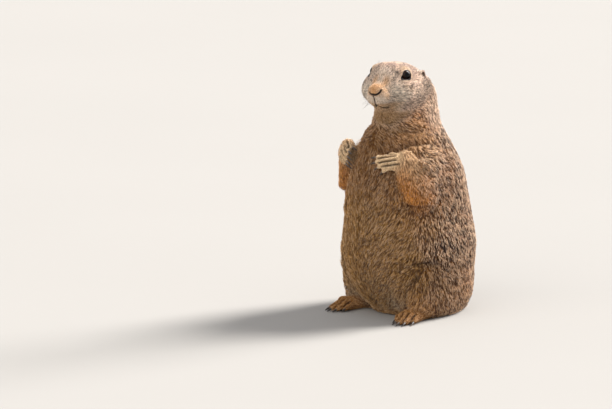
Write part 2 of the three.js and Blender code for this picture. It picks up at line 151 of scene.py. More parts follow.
@dataclass(frozen=True)
class Pose:
    """Where the body and the turned head are, found from the eyes in the frame.

    The head's own axes are x to its left, y to its back and z up, from between the eyes. The
    body's are those of the frame, from the floor below the middle of the belly.
    """

    eye_height: float = 228 * MM
    head_forward: float = 21.5 * MM
    eye_back: float = -2.4 * MM
    nod: float = math.radians(3)

    @cached_property
    def eyes(self) -> dict[str, Array]:
        """The centre of each eyeball."""
        boxes = {side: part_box(f"eye_{side}") for side in SIDES}
        return {side: (np.array(low) + np.array(high)) / 2 for side, (low, high) in boxes.items()}

    @cached_property
    def head_turned(self) -> Array:
        """The head's axes, one in each column."""
        across = self.eyes["left"] - self.eyes["right"]
        turn = Matrix.Rotation(math.atan2(across[1], across[0]), 3, "Z")
        return np.array(turn @ Matrix.Rotation(self.nod, 3, "X"))

    @cached_property
    def head_origin(self) -> Array:
        """The origin of the head's axes."""
        middle = (self.eyes["left"] + self.eyes["right"]) / 2
        return middle - self.head_turned @ np.array([0, self.eye_back, 0])

    @cached_property
    def body_origin(self) -> Array:
        """The origin of the body's axes."""
        return self.head_origin - np.array([0, -self.head_forward, self.eye_height])

    def to_head(self, points: Array) -> Array:
        """Gives points in the head's axes, in millimetres."""
        return (points - self.head_origin) @ self.head_turned / MM

    def to_body(self, points: Array) -> Array:
        """Gives points in the body's axes, in millimetres."""
        return (points - self.body_origin) / MM

    def head_point(self, x: float, y: float, z: float) -> Array:
        """Places a point given in the head's axes, in millimetres."""
        return self.head_origin + self.head_turned @ np.array([x, y, z]) * MM

    def head_way(self, x: float, y: float, z: float) -> Array:
        """Turns a direction given in the head's axes into the frame's."""
        return unit(self.head_turned @ np.array([x, y, z], float))

    def body_point(self, x: float, y: float, z: float) -> Array:
        """Places a point given in the body's axes, in millimetres."""
        return self.body_origin + np.array([x, y, z]) * MM

    def beside(self, sign: int, place: Place) -> Array:
        """Places a point given for the body's left side, or its mirror image where sign is -1."""
        return self.body_point(sign * place[0], *place[1:])


class Region(Enum):
    """The parts of the body that differ in coat."""

    HEAD = "head"
    EAR = "ear"
    NECK = "neck"
    TORSO = "torso"
    THIGH = "thigh"
    UPPER_ARM = "upper_arm"
    FOREARM = "forearm"
    FOREPAW = "forepaw"
    HIND_FOOT = "hind_foot"
    TAIL = "tail"
    TAIL_TIP = "tail_tip"

    @property
    def nodes(self) -> list[str]:
        """The CAD nodes of this part."""
        names = (self.value, f"{self.value}_left", f"{self.value}_right")
        return [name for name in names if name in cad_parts]


REGIONS = list(Region)


@dataclass(frozen=True)
class Palette:
    """The colours of the coat and the bare skin, and of its painted highlights and shade, in sRGB."""

    back: Colour = (0.6, 0.385, 0.21)
    belly: Colour = (0.655, 0.47, 0.195)
    # Darker than the belly: partly the chest's own fur, partly painted shade.
    chest: Colour = (0.555, 0.355, 0.11)
    throat: Colour = (0.82, 0.53, 0.17)
    # Near white: a painted rim highlight on the back of the neck.
    nape_highlight: Colour = (1, 0.9, 0.82)
    thigh: Colour = (0.72, 0.495, 0.27)
    shank: Colour = (0.78, 0.56, 0.31)
    groin: Colour = (0.72, 0.65, 0.56)
    # Pale golden fur above the shoulder fold, lightened as a painted highlight where light falls from
    # above.
    collar_highlight: Colour = (0.97, 0.76, 0.53)
    arm: Colour = (0.86, 0.555, 0.165)
    paw: Colour = (1, 0.88, 0.71)
    foot: Colour = (0.72, 0.505, 0.235)
    tail: Colour = (0.57, 0.4, 0.24)
    tail_tip: Colour = (0.15, 0.11, 0.09)
    crown: Colour = (0.67, 0.54, 0.51)
    cheek: Colour = (0.97, 0.85, 0.78)
    jowl: Colour = (0.38, 0.28, 0.195)
    streak: Colour = (0.36, 0.28, 0.22)
    pale_face: Colour = (1, 0.955, 0.89)
    lip: Colour = (0.86, 0.69, 0.48)
    # Browner than the lips: partly the chin's fur, partly painted shade under the head.
    chin: Colour = (0.72, 0.56, 0.36)
    bridge: Colour = (1, 0.94, 0.87)
    golden: Colour = (0.93, 0.74, 0.53)
    nose: Colour = (0.88, 0.66, 0.41)
    eye_ring: Colour = (0.93, 0.82, 0.68)
    # Dark: marks before and below the eye, and painted shade under the fold of the ear.
    spot_and_shade: Colour = (0.25, 0.21, 0.2)
    # Near white: a painted highlight along the ear's rim.
    ear_rim: Colour = (0.97, 0.9, 0.82)
    pale_tip: Colour = (1, 0.875, 0.74)
    tick: Colour = (0.15, 0.11, 0.1)
    bare: Colour = (0.1, 0.07, 0.065)
    lid: Colour = (0.05, 0.035, 0.03)
    shadow: Colour = (0, 0, 0)


@dataclass(frozen=True)
class Fur:
    """How the coat grows on one part of the body.

    length, width and depth are in millimetres, and cover is the tufts on a square millimetre.
    clump is how far the tips of neighbours draw together, and grizzle how much they are banded.
    softening smooths the skin, and filling closes gaps in it of up to twice as many millimetres.
    """

    ground: Colour
    length: float
    width: float
    depth: float
    cover: float
    clump: float
    grizzle: float
    softening: float
    filling: float


PALETTE = Palette()

# Each row holds ground, length, width, depth, cover, clump, grizzle, softening and filling.
FURS = {
    Region.HEAD: Fur(PALETTE.cheek, 3.7, 0.29, 1.15, 3.3, 0.12, 0.8, 0.14, 0.4),
    Region.EAR: Fur(PALETTE.crown, 1.4, 0.22, 0.2, 7.0, 0.0, 0.3, 0.01, 0.4),
    Region.NECK: Fur(PALETTE.throat, 7.2, 0.45, 2.3, 1.5, 0.3, 0.6, 1.0, 2.0),
    Region.TORSO: Fur(PALETTE.back, 8.2, 0.48, 3.0, 1.15, 0.3, 0.9, 1.0, 2.2),
    Region.THIGH: Fur(PALETTE.thigh, 8.2, 0.48, 2.8, 1.1, 0.3, 0.6, 1.0, 2.2),
    Region.UPPER_ARM: Fur(PALETTE.arm, 7.4, 0.45, 2.4, 1.3, 0.3, 0.35, 1.0, 2.4),
    Region.FOREARM: Fur(PALETTE.arm, 6.2, 0.4, 1.9, 1.9, 0.3, 0.1, 0.7, 1.6),
    Region.FOREPAW: Fur(PALETTE.paw, 1.15, 0.23, 0.2, 5.0, 0.05, 0.0, 0.01, 0.1),
    Region.HIND_FOOT: Fur(PALETTE.foot, 2.2, 0.3, 0.4, 3.4, 0.1, 0.1, 0.01, 0.15),
    Region.TAIL: Fur(PALETTE.tail, 11.0, 0.6, 4.0, 1.4, 0.25, 0.6, 0.4, 0.6),
    Region.TAIL_TIP: Fur(PALETTE.tail_tip, 12.0, 0.6, 3.6, 1.7, 0.25, 0.1, 0.3, 0.6),
}


def belongs(labels: Array, *regions: Region) -> Array:
    """Tells which labels are the numbers of the given regions."""
    return np.isin(labels, [REGIONS.index(region) for region in regions])


def per_point(labels: Array, name: str) -> Array:
    """Gives one of the coat's sizes for each label."""
    return np.array([getattr(FURS[region], name) for region in REGIONS])[labels]


def only(*pieces: Object) -> None:
    """Selects the given objects and no others, the first of them active."""
    bpy.ops.object.select_all(action="DESELECT")
    for piece in pieces:
        piece.select_set(True)
    bpy.context.view_layer.objects.active = pieces[0]


def apply_modifier(piece: Object, kind: str, **settings: object) -> None:
    """Adds a modifier to a piece and applies it.

    Args:
        piece: the piece.
        kind: the modifier's kind, such as SUBSURF.
        settings: the modifier's settings by name.
    """
    only(piece)
    modifier = piece.modifiers.new(kind.title(), kind)
    for name, value in settings.items():
        setattr(modifier, name, value)
    bpy.ops.object.modifier_apply(modifier=modifier.name)


def edit(piece: Object, step: Callable[[], object]) -> None:
    """Runs a step on the whole of a piece's mesh in edit mode."""
    only(piece)
    bpy.ops.object.mode_set(mode="EDIT")
    bpy.ops.mesh.select_all(action="SELECT")
    step()
    bpy.ops.object.mode_set(mode="OBJECT")


def new_piece(name: str, mesh: Mesh) -> Object:
    """Makes an object at the origin from a mesh."""
    piece = bpy.data.objects.new(name, mesh)
    bpy.context.scene.collection.objects.link(piece)
    return piece


def ready_made(add: Callable[..., object], name: str, **sizes: object) -> Object:
    """Adds a ready-made shape at the origin.

    Args:
        add: the call that adds the shape.
        name: the new piece's name.
        sizes: the shape's sizes by name.

    Returns:
        The new piece.
    """
    bpy.ops.object.select_all(action="DESELECT")
    add(**sizes)
    piece = bpy.context.active_object
    piece.name = piece.data.name = name
    return piece


def bare_copy(node: str, name: str) -> Object:
    """Copies a CAD node's mesh into a new object, its loose triangles merged."""
    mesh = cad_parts[node].data.copy()
    mesh.materials.clear()
    piece = new_piece(name, mesh)
    edit(piece, lambda: bpy.ops.mesh.remove_doubles(threshold=0.001 * MM))
    return piece


def read(items: Sequence[object], name: str, width: int = 1, kind: type = float) -> Array:
    """Reads one value of each of a mesh's items.

    Args:
        items: the mesh's points, edges, faces or corners, or what is stored for them.
        name: the value's name.
        width: how many numbers the value holds.
        kind: the numbers' type.

    Returns:
        A number for each item, or a row of numbers where the width is over 1.
    """
    values = np.empty(len(items) * width, kind)
    items.foreach_get(name, values)
    return values.reshape(-1, width) if width > 1 else values


def coordinates(mesh: Mesh) -> Array:
    """Gives the places of a mesh's points."""
    return read(mesh.vertices, "co", 3)


def move_points(mesh: Mesh, points: Array) -> None:
    """Gives a mesh's points new places."""
    mesh.vertices.foreach_set("co", points.ravel())
    mesh.update()


def triangle_mesh(name: str, points: Array, triangles: Array) -> Mesh:
    """Makes a smooth-shaded mesh.

    Args:
        name: the mesh's name.
        points: the places of its points, one in each row.
        triangles: the numbers of each triangle's corners, one triangle in each row.

    Returns:
        The mesh.
    """
    mesh = bpy.data.meshes.new(name)
    mesh.vertices.add(len(points))
    mesh.vertices.foreach_set("co", points.ravel())
    mesh.loops.add(triangles.size)
    mesh.loops.foreach_set("vertex_index", triangles.ravel())
    mesh.polygons.add(len(triangles))
    mesh.polygons.foreach_set("loop_start", np.arange(0, triangles.size, 3))
    mesh.polygons.foreach_set("use_smooth", np.ones(len(triangles), bool))
    mesh.update(calc_edges=True)
    return mesh


def set_values(mesh: Mesh, name: str, values: Array) -> None:
    """Stores values on a mesh's points, for the finishes to read.

    Args:
        mesh: the mesh.
        name: what the finishes call the values.
        values: a number for each point, or a row with its linear colour.
    """
    if values.ndim == 1:
        mesh.attributes.new(name, "FLOAT", "POINT").data.foreach_set("value", values)
        return
    with_alpha = np.hstack([values, np.ones((len(values), 1))])
    stored = mesh.attributes.new(name, "FLOAT_COLOR", "POINT")
    stored.data.foreach_set("color", with_alpha.ravel())


def finished(piece: Object, material: Material, slot: str, *nodes: str) -> Object:
    """Dresses a piece and ties it to the body.

    Args:
        piece: the finished piece.
        material: its finish.
        slot: the piece's material slot, for the log.
        nodes: the CAD nodes that the piece stands for.

    Returns:
        The same piece.
    """
    piece.data.materials.clear()
    piece.data.materials.append(material)
    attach(piece, BODY)
    if nodes:
        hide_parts(*nodes)
    LOG.info("%s: %d faces, slot %s", piece.name, len(piece.data.polygons), slot)
    return piece


class Shader:
    """Builds one material's nodes."""

    def __init__(self, name: str) -> None:
        """Starts a material with an empty Principled shader."""
        self.material = bpy.data.materials.new(name)
        self.material.use_nodes = True
        self.nodes = self.material.node_tree.nodes
        self.links = self.material.node_tree.links
        self.principled = self.nodes["Principled BSDF"]

    def feed(self, socket: NodeSocket, value: object) -> None:
        """Links a socket to another, or sets it to a plain value.

        Args:
            socket: the input to feed.
            value: another node's output, a number, or the three numbers of a colour or a place.
        """
        if isinstance(value, NodeSocket):
            self.links.new(value, socket)
        elif socket.type == "RGBA":
            socket.default_value = (*value, 1)
        else:
            socket.default_value = value

    def set(self, **values: object) -> None:
        """Sets or links the shader's sockets, each named in small letters with underscores."""
        names = {s.name.lower().replace(" ", "_"): s for s in reversed(self.principled.inputs)}
        for name, value in values.items():
            self.feed(names[name], value)

    def attribute(self, name: str, output: str = "Fac") -> NodeSocket:
        """Reads a stored number, or a stored colour with output Color."""
        node = self.nodes.new("ShaderNodeAttribute")
        node.attribute_name = name
        return node.outputs[output]

    def place(self) -> NodeSocket:
        """Gives the place of each point in the object's own coordinates."""
        return self.nodes.new("ShaderNodeTexCoord").outputs["Object"]

    def operation(self, node_type: str, kind: str, values: Sequence[object]) -> Node:
        """Adds a node that works something out.

        Args:
            node_type: the node's type.
            kind: its operation, such as MULTIPLY.
            values: what feeds its inputs, in order.

        Returns:
            The node.
        """
        node = self.nodes.new(node_type)
        node.operation = kind
        for socket, value in zip(node.inputs, values):
            self.feed(socket, value)
        return node

    def math(self, kind: str, *values: object) -> NodeSocket:
        """Works out a number from numbers."""
        return self.operation("ShaderNodeMath", kind, values).outputs["Value"]

    def vector(self, kind: str, *values: object) -> Node:
        """Adds a node that works on vectors."""
        return self.operation("ShaderNodeVectorMath", kind, values)

    def between(self, value: object, low: float, high: float) -> NodeSocket:
        """Eases from 0 below low to 1 above high."""
        node = self.nodes.new("ShaderNodeMapRange")
        node.interpolation_type = "SMOOTHSTEP"
        self.feed(node.inputs["Value"], value)
        node.inputs["From Min"].default_value = low
        node.inputs["From Max"].default_value = high
        return node.outputs["Result"]

    def falling(self, start: float, drop: float, share: object) -> NodeSocket:
        """Falls from start by the given share of the drop."""
        return self.math("SUBTRACT", start, self.math("MULTIPLY", share, drop))

    def mix(self, share: object, first: object, second: object, kind: str = "MIX") -> NodeSocket:
        """Mixes two colours.

        Args:
            share: how much the second colour counts, from 0 to 1.
            first: a colour's output or its three linear numbers.
            second: the same for the second colour.
            kind: how they mix, such as MULTIPLY.

        Returns:
            The mixed colour.
        """
        node = self.nodes.new("ShaderNodeMix")
        node.data_type = "RGBA"
        node.blend_type = kind
        colours = [s for s in node.inputs if s.type == "RGBA"]
        self.feed(node.inputs["Factor"], share)
        self.feed(colours[0], first)
        self.feed(colours[1], second)
        return next(s for s in node.outputs if s.type == "RGBA")

    def shaded(self, colour: object, shade: Colour) -> NodeSocket:
        """Darkens a colour by a shade, which multiplies it."""
        return self.mix(1.0, colour, shade, "MULTIPLY")

    def noise(self, grain: float, detail: float = 2, stretch: Place = (1, 1, 1)) -> NodeSocket:
        """Adds noise on the object's own coordinates.

        Args:
            grain: the size of its grain in metres.
            detail: how many finer layers it has.
            stretch: how much each axis is scaled first.

        Returns:
            The noise, from 0 to 1.
        """
        mapping = self.nodes.new("ShaderNodeMapping")
        mapping.inputs["Scale"].default_value = stretch
        node = self.nodes.new("ShaderNodeTexNoise")
        node.inputs["Scale"].default_value = 1 / grain
        node.inputs["Detail"].default_value = detail
        self.links.new(self.place(), mapping.inputs["Vector"])
        self.links.new(mapping.outputs["Vector"], node.inputs["Vector"])
        return node.outputs["Fac"]

    def bump(self, height: object, distance: float) -> NodeSocket:
        """Turns a height into a normal."""
        node = self.nodes.new("ShaderNodeBump")
        node.inputs["Distance"].default_value = distance
        self.feed(node.inputs["Height"], height)
        return node.outputs["Normal"]


@dataclass(frozen=True)
class CoatFinish:
    """Fur: dark at the roots, with dark ticks and pale tips where the tufts say that it is banded.

    The ranges of along run from a tuft's root at 0 to its tip at 1, and those of tones from the
    darkest tufts at 0 to the palest at 1. Each mark eases in over its range.
    """

    name: str = "fur"
    # root_shade darkens the roots: partly the dark underfur, partly painted shade between the tufts.
    root_shade: Colour = (0.3, 0.25, 0.22)
    dark_shade: Colour = (0.46, 0.4, 0.35)
    root_along: Range = (0.06, 0.6)
    dark_tones: Range = (0.48, 0.22)
    streak_along: Range = (0.4, 0.9)
    streak_tones: Range = (0.52, 0.78)
    streak_paleness: float = 0.46
    tick_along: Range = (0.1, 0.3)
    tick_tones: Range = (0.5, 0.34)
    frost_along: Range = (0.3, 0.55)
    frost_tones: Range = (0.45, 0.62)
    frost_paleness: float = 0.78
    drift: float = 0.22
    drift_size: float = 14 * MM
    roughness: float = 0.6
    specular: float = 0.3
    sheen: float = 0.12
    sheen_roughness: float = 0.4

    def material(self) -> Material:
        """Builds the material."""
        s = Shader(self.name)
        ground = s.attribute("ground", "Color")
        along = s.attribute("along")
        tone = s.attribute("tone")
        tip = linear(PALETTE.pale_tip)

        def mark(where: Range, tones: Range) -> NodeSocket:
            """Is 1 past the given range along tufts of the given tones."""
            return s.math("MULTIPLY", s.between(along, *where), s.between(tone, *tones))

        # Dark roots, more where the coat is deep: partly underfur, partly painted shade in the gaps
        # between tufts.
        root = s.mix(s.attribute("deep"), ground, s.shaded(ground, self.root_shade))
        shaft = s.mix(s.between(along, *self.root_along), root, ground)
        plain = s.mix(s.between(tone, *self.dark_tones), shaft, s.shaded(shaft, self.dark_shade))
        streak = mark(self.streak_along, self.streak_tones)
        plain = s.mix(streak, plain, s.mix(self.streak_paleness, ground, tip))
        banded = s.mix(mark(self.tick_along, self.tick_tones), shaft, linear(PALETTE.tick))
        frost = mark(self.frost_along, self.frost_tones)
        banded = s.mix(frost, banded, s.mix(self.frost_paleness, ground, tip))
        colour = s.mix(s.attribute("grizzle"), plain, banded)
        drift = s.math("MULTIPLY", s.noise(self.drift_size, 3), self.drift)
        colour = s.mix(drift, colour, s.shaded(colour, self.dark_shade))
        s.set(base_color=colour, roughness=self.roughness, specular_ior_level=self.specular)
        s.set(sheen_weight=self.sheen, sheen_roughness=self.sheen_roughness)
        return s.material


@dataclass(frozen=True)
class SkinFinish:
    """The skin: undercoat where fur grows, darkened partly as painted shade, and bare at the nose, lips
    and lids.
    """

    name: str = "skin"
    undercoat_shade: Colour = (0.5, 0.46, 0.425)
    hair_shade: Colour = (0.5, 0.46, 0.42)
    hair_size: float = 1.2 * MM
    hair_stretch: Place = (1, 1, 0.3)
    pore_size: float = 0.5 * MM
    pore_depth: float = 0.15 * MM
    roughness: float = 0.9
    bare_gloss: float = 0.42
    specular: float = 0.35

    def material(self) -> Material:
        """Builds the material."""
        s = Shader(self.name)
        bare = s.attribute("bare")
        # Darkened where fur grows: partly the dark underfur, partly painted shade under the coat.
        under = s.shaded(s.attribute("ground", "Color"), self.undercoat_shade)
        hairs = s.noise(self.hair_size, 4, self.hair_stretch)
        under = s.mix(hairs, under, s.shaded(under, self.hair_shade))
        colour = s.mix(bare, under, s.attribute("bare_colour", "Color"))
        pores = s.bump(s.noise(self.pore_size, 2), self.pore_depth)
        s.set(base_color=colour, roughness=s.falling(self.roughness, self.bare_gloss, bare))
        s.set(specular_ior_level=self.specular, normal=pores)
        return s.material


@dataclass(frozen=True)
class EyeFinish:
    """A wet eye, nearly black, with a dark brown iris round its pupil. Its colours are linear."""

    centre: Place
    axis: Place
    name: str = "eye"
    pupil: float = 2.6 * MM
    iris: float = 4.6 * MM
    soft_edge: float = 0.1
    pupil_colour: Colour = (0.001, 0.001, 0.001)
    iris_colours: tuple[Colour, Colour] = ((0.008, 0.004, 0.003), (0.024, 0.011, 0.006))
    outer_colour: Colour = (0.003, 0.002, 0.002)
    grain: float = 0.7 * MM
    roughness: float = 0.04
    specular: float = 0.5
    ior: float = 1.25

    def material(self) -> Material:
        """Builds the material."""
        s = Shader(self.name)
        offset = s.vector("SUBTRACT", s.place(), self.centre).outputs[0]
        across = s.vector("CROSS_PRODUCT", offset, self.axis).outputs[0]
        distance = s.vector("LENGTH", across).outputs["Value"]
        inner, outer = 1 - self.soft_edge, 1 + self.soft_edge
        beyond_pupil = s.between(distance, self.pupil * inner, self.pupil * outer)
        beyond_iris = s.between(distance, self.iris * inner, self.iris)
        iris = s.mix(s.noise(self.grain, 3), *self.iris_colours)
        colour = s.mix(beyond_pupil, self.pupil_colour, iris)
        colour = s.mix(beyond_iris, colour, self.outer_colour)
        s.set(base_color=colour, roughness=self.roughness)
        s.set(specular_ior_level=self.specular, ior=self.ior)
        return s.material


@dataclass(frozen=True)
class LidFinish:
    """The lids' rims: dark, moist skin that pales to the fur outside."""

    name: str = "lid_rim"
    rim_range: Range = (0.1, 0.7)
    grain: float = 0.6 * MM
    depth: float = 0.1 * MM
    roughness: float = 0.85
    rim_gloss: float = 0.3
    specular: float = 0.25

    def material(self) -> Material:
        """Builds the material."""
        s = Shader(self.name)
        rim = s.attribute("rim")
        grain = s.noise(self.grain, 3)
        outer = s.mix(grain, linear(PALETTE.eye_ring), linear(PALETTE.cheek))
        colour = s.mix(s.between(rim, *self.rim_range), outer, linear(PALETTE.lid))
        s.set(base_color=colour, roughness=s.falling(self.roughness, self.rim_gloss, rim))
        s.set(specular_ior_level=self.specular, normal=s.bump(grain, self.depth))
        return s.material


@dataclass(frozen=True)
class HornFinish:
    """Claw horn: dark brown, streaked, paler where it leaves the toe. Its colours are linear."""

    name: str = "claw_horn"
    root_colours: tuple[Colour, Colour] = ((0.14, 0.095, 0.065), (0.24, 0.175, 0.125))
    tip_colours: tuple[Colour, Colour] = ((0.012, 0.009, 0.008), (0.045, 0.034, 0.028))
    root_along: Range = (0.0, 0.5)
    grain: float = 0.5 * MM
    depth: float = 0.05 * MM
    roughness: float = 0.42
    specular: float = 0.4

    def material(self) -> Material:
        """Builds the material."""
        s = Shader(self.name)
        grain = s.noise(self.grain, 4)
        root, tip = s.mix(grain, *self.root_colours), s.mix(grain, *self.tip_colours)
        colour = s.mix(s.between(s.attribute("along"), *self.root_along), root, tip)
        s.set(base_color=colour, roughness=self.roughness)
        s.set(specular_ior_level=self.specular, normal=s.bump(grain, self.depth))
        return s.material


@dataclass(frozen=True)
class WhiskerFinish:
    """A whisker: dark at the root and paler at its tip. Its colours are linear."""

    name: str = "whisker_hair"
    colours: tuple[Colour, Colour] = ((0.02, 0.016, 0.014), (0.12, 0.095, 0.075))
    tip_along: Range = (0.2, 1.0)
    roughness: float = 0.4

    def material(self) -> Material:
        """Builds the material."""
        s = Shader(self.name)
        colour = s.mix(s.between(s.attribute("along"), *self.tip_along), *self.colours)
        s.set(base_color=colour, roughness=self.roughness)
        return s.material


@dataclass
class Surface:
    """A mesh's points, normals, edges and triangles as arrays.

    own_share is what a point keeps of its own value in each round of spread.
    """

    points: Array
    normals: Array
    edges: Array
    triangles: Array
    corner_uvs: Array
    own_share: float = 0.4

    @classmethod
    def of(cls, mesh: Mesh) -> "Surface":
        """Reads a mesh.

        Args:
            mesh: the mesh to read.

        Returns:
            Its surface; corner_uvs is empty where the mesh has no bake map.
        """
        mesh.calc_loop_triangles()
        corner_uvs = np.empty((0, 3, 2))
        if BAKE_MAP in mesh.uv_layers:
            uvs = read(mesh.uv_layers[BAKE_MAP].data, "uv", 2, np.float32)
            corner_uvs = uvs[read(mesh.loop_triangles, "loops", 3, np.int32)].astype(float)
        return cls(
            coordinates(mesh),
            read(mesh.vertex_normals, "vector", 3, np.float32).astype(float),
            read(mesh.edges, "vertices", 2, np.int32),
            read(mesh.loop_triangles, "vertices", 3, np.int32),
            corner_uvs,
        )

    def spread(self, values: Array, rounds: int) -> Array:
        """Evens out values over the surface.

        Args:
            values: a number or a row of numbers for each point.
            rounds: how often each point takes on some of its neighbours' values.

        Returns:
            The evened values.
        """
        first, second = self.edges.T
        count = np.bincount(self.edges.ravel(), minlength=len(self.points))
        columns = values.reshape(len(values), -1).astype(float)
        for _ in range(rounds):
            total = np.empty_like(columns)
            for k in range(columns.shape[1]):
                from_first = np.bincount(second, columns[first, k], len(columns))
                from_second = np.bincount(first, columns[second, k], len(columns))
                total[:, k] = from_first + from_second
            around = total / np.maximum(count, 1)[:, None]
            columns = columns * self.own_share + around * (1 - self.own_share)
        return columns.reshape(values.shape)


@dataclass(frozen=True)
class Crease:
    """A fold or groove along a path on the skin. Sizes are in millimetres."""

    path: Array
    depth: float
    width: float
    swell: float
    dark: float
    reach: float = 20

    def nearness(self, points: Array) -> Array:
        """Measures how near the points are to the path.

        Args:
            points: the places to measure from.

        Returns:
            Each point's distance in millimetres, or FAR beyond the reach of the path's box.
        """
        distance = np.full(len(points), FAR)
        low = self.path.min(0) - self.reach * MM
        high = self.path.max(0) + self.reach * MM
        near = np.all((points > low) & (points < high), axis=1)
        close = points[near]
        found = np.full(len(close), FAR)
        for start, end in zip(self.path[:-1], self.path[1:]):
            along = end - start
            share = np.clip((close - start) @ along / (along @ along), 0, 1)
            gap = np.linalg.norm(close - start - share[:, None] * along, axis=1) / MM
            found = np.minimum(found, gap)
        distance[near] = found
        return distance

    def dip(self, points: Array) -> Array:
        """Gives how far each point sinks, negative where the skin swells beside the fold."""
        gap = self.nearness(points)
        ridge = bell(gap - 2.1 * self.width, self.width) * self.swell
        return (bell(gap, self.width) - ridge) * self.depth * MM

    def shade(self, points: Array) -> Array:
        """Gives how deep each point lies in the fold's shadow."""
        return bell(self.nearness(points), self.width * 0.9) * self.dark


@dataclass
class Face:
    """The lines of the face, found on the head as rays from inside the muzzle leave it.

    A line is given by the directions of its rays, to the left and up for each step forwards.
    """

    pose: Pose
    skull: BVHTree
    core: Place = (0, -13, -18)
    lips: tuple[Range, ...] = (
        (0, -0.41), (0.1, -0.5), (0.21, -0.65), (0.34, -0.82), (0.48, -0.95), (0.7, -1.05), (1.0, -1.25)
    )
    cleft: tuple[Range, ...] = ((0, 0.2), (0, 0.05), (0, -0.1), (0, -0.26), (0, -0.41))
    wing: tuple[Range, ...] = (
        (0.0, 0.19), (0.08, 0.18), (0.16, 0.2), (0.24, 0.25), (0.31, 0.33), (0.36, 0.44)
    )

    def point(self, x: float, z: float) -> Array:
        """Finds the point where a ray from the muzzle's core leaves the face."""
        core = Vector(self.pose.head_point(*self.core))
        way = Vector(self.pose.head_way(x, -1, z))
        hit = self.skull.ray_cast(core, way)[0]
        return np.array(hit if hit is not None else core + way * 20 * MM)

    def line(self, places: Sequence[Range]) -> Array:
        """Finds a line of such points."""
        return np.array([self.point(x, z) for x, z in places])

    def mouth(self) -> Crease:
        """The line between the lips, raised in the middle and drooping at its ends."""
        places = [(-x, z) for x, z in reversed(self.lips[1:])] + list(self.lips)
        return Crease(self.line(places), depth=2.4, width=1.3, swell=0.3, dark=1.0)

    def philtrum(self) -> Crease:
        """The cleft from the nose to the mouth."""
        return Crease(self.line(self.cleft), depth=1.0, width=0.5, swell=0.3, dark=0.8)

    def nostril(self, side: int) -> Crease:
        """A comma from beside the middle, outwards and up round the wing of the nose."""
        places = [(side * x, z) for x, z in self.wing]
        return Crease(self.line(places), depth=1.7, width=0.8, swell=0.3, dark=1.0)

    def creases(self) -> list[Crease]:
        """All the lines of the face."""
        return [self.mouth(), self.philtrum(), self.nostril(1), self.nostril(-1)]


@dataclass
class Lie:
    """Which way the coat lies at each point of the skin. Places are in millimetres."""

    pose: Pose
    whorl: Place = (40, -41, 161)
    ear_base: Place = (0, 10, -14)
    nose: Place = (0, -36, -15)
    sweep_angles: tuple[float, ...] = (0, 12, 35, 50, 62, 90, 130, 180)
    sweep: tuple[float, ...] = (0, -0.45, -0.85, -0.6, 0.0, 0.3, 0.15, 0)
    eye_gap: float = 6.5
    eye_width: float = 2.6

    def trunk(self, body: Array) -> Array:
        """Lies down the body, drawn in to the middle of the belly and out over the flanks."""
        around = bearing(body)
        level = np.zeros(len(body))
        pull = np.interp(np.degrees(np.abs(around)), self.sweep_angles, self.sweep)
        turned = np.stack([np.cos(around), np.sin(around), level], axis=1)
        low = smooth_step(body[:, 2], 150, 95) * 0.75 + 0.25
        ways = turned * (pull * np.sign(around) * low)[:, None]
        ways[:, 2] -= 1
        flare = smooth_step(body[:, 2], 16, 2)
        outwards = np.stack([np.sin(around), -np.cos(around), level], axis=1)
        return ways + outwards * (flare * 0.9)[:, None]

    def throat(self, body: Array) -> Array:
        """Lies round the neck from the throat to its sides, and down its back."""
        front = smooth_step(-body[:, 1], -8, 24)
        side = np.tanh(body[:, 0] / 5)
        return np.stack([side * 0.6 * front, 0.62 * front + 0.15, -1 + 0.45 * front], axis=1)

    def face(self, points: Array) -> Array:
        """Lies back from the nose over the whole head, and round the eyes."""
        ways = unit(self.pose.to_head(points) - np.array(self.nose)) @ self.pose.head_turned.T
        for eye in self.pose.eyes.values():
            near = bell(distances(points, eye) / MM - self.eye_gap, self.eye_width)
            ways = ways + unit(points - eye) * (1.5 * near)[:, None]
        return ways

    def tail(self, body: Array) -> Array:
        """Lies along the tail to its tip."""
        path = np.array(TAIL_PATH, float)
        middles = (path[1:] + path[:-1]) / 2
        gaps = np.linalg.norm(body[:, None] - middles[None], axis=2)
        return unit(path[1:] - path[:-1])[gaps.argmin(axis=1)]

    def ways(self, surface: Surface, labels: Array) -> Array:
        """Gives the lie of the coat along the skin.

        Args:
            surface: the skin.
            labels: the number of each point's region in REGIONS.

        Returns:
            A direction of length 1 for each point, square to its normal.
        """
        body = self.pose.to_body(surface.points)
        side = np.sign(body[:, :1])
        mirror = np.hstack([side, np.ones_like(side), np.ones_like(side)])

        def away(place: Place) -> Array:
            """Points away from a place on each point's own side of the body."""
            return unit(body - np.array(place) * mirror)

        found = self.trunk(body)
        ear_base = self.pose.to_body(self.pose.head_point(*self.ear_base)[None])
        per_region = {
            Region.HEAD: self.face(surface.points),
            Region.EAR: unit(body - ear_base) + np.array([0, 0.1, 0.5]),
            Region.NECK: self.throat(body),
            Region.UPPER_ARM: away(self.whorl) + np.array([0, 0, -0.7]),
            Region.FOREARM: away(self.whorl) + np.array([0, 0, -0.35]),
            Region.FOREPAW: away(WRIST) + np.array([-0.6, -0.6, 0]) * mirror,
            Region.HIND_FOOT: away(HEEL) + np.array([0, -0.6, 0.1]),
            Region.TAIL: self.tail(body),
            Region.TAIL_TIP: self.tail(body),
        }
        for region, ways in per_region.items():
            chosen = belongs(labels, region)
            found[chosen] = ways[chosen]
        for _ in range(3):
            found = along_skin(surface.spread(unit(found), 6), surface.normals)
        return unit(found)


@dataclass(frozen=True)
class Patch:
    """A round patch on both sides of the head or the body, in its own axes, in millimetres."""

    place: Place
    size: float
    strength: float = 1.0

    def share(self, points: Array) -> Array:
        """Gives the patch's strength at each point, which falls off over about its size."""
        mirrored = np.hstack([np.abs(points[:, :1]), points[:, 1:]])
        return bell(distances(mirrored, self.place), self.size) * self.strength


def strongest(points: Array, *patches: Patch) -> Array:
    """Gives the strength of the patch that is strongest at each point."""
    return np.maximum.reduce([patch.share(points) for patch in patches])


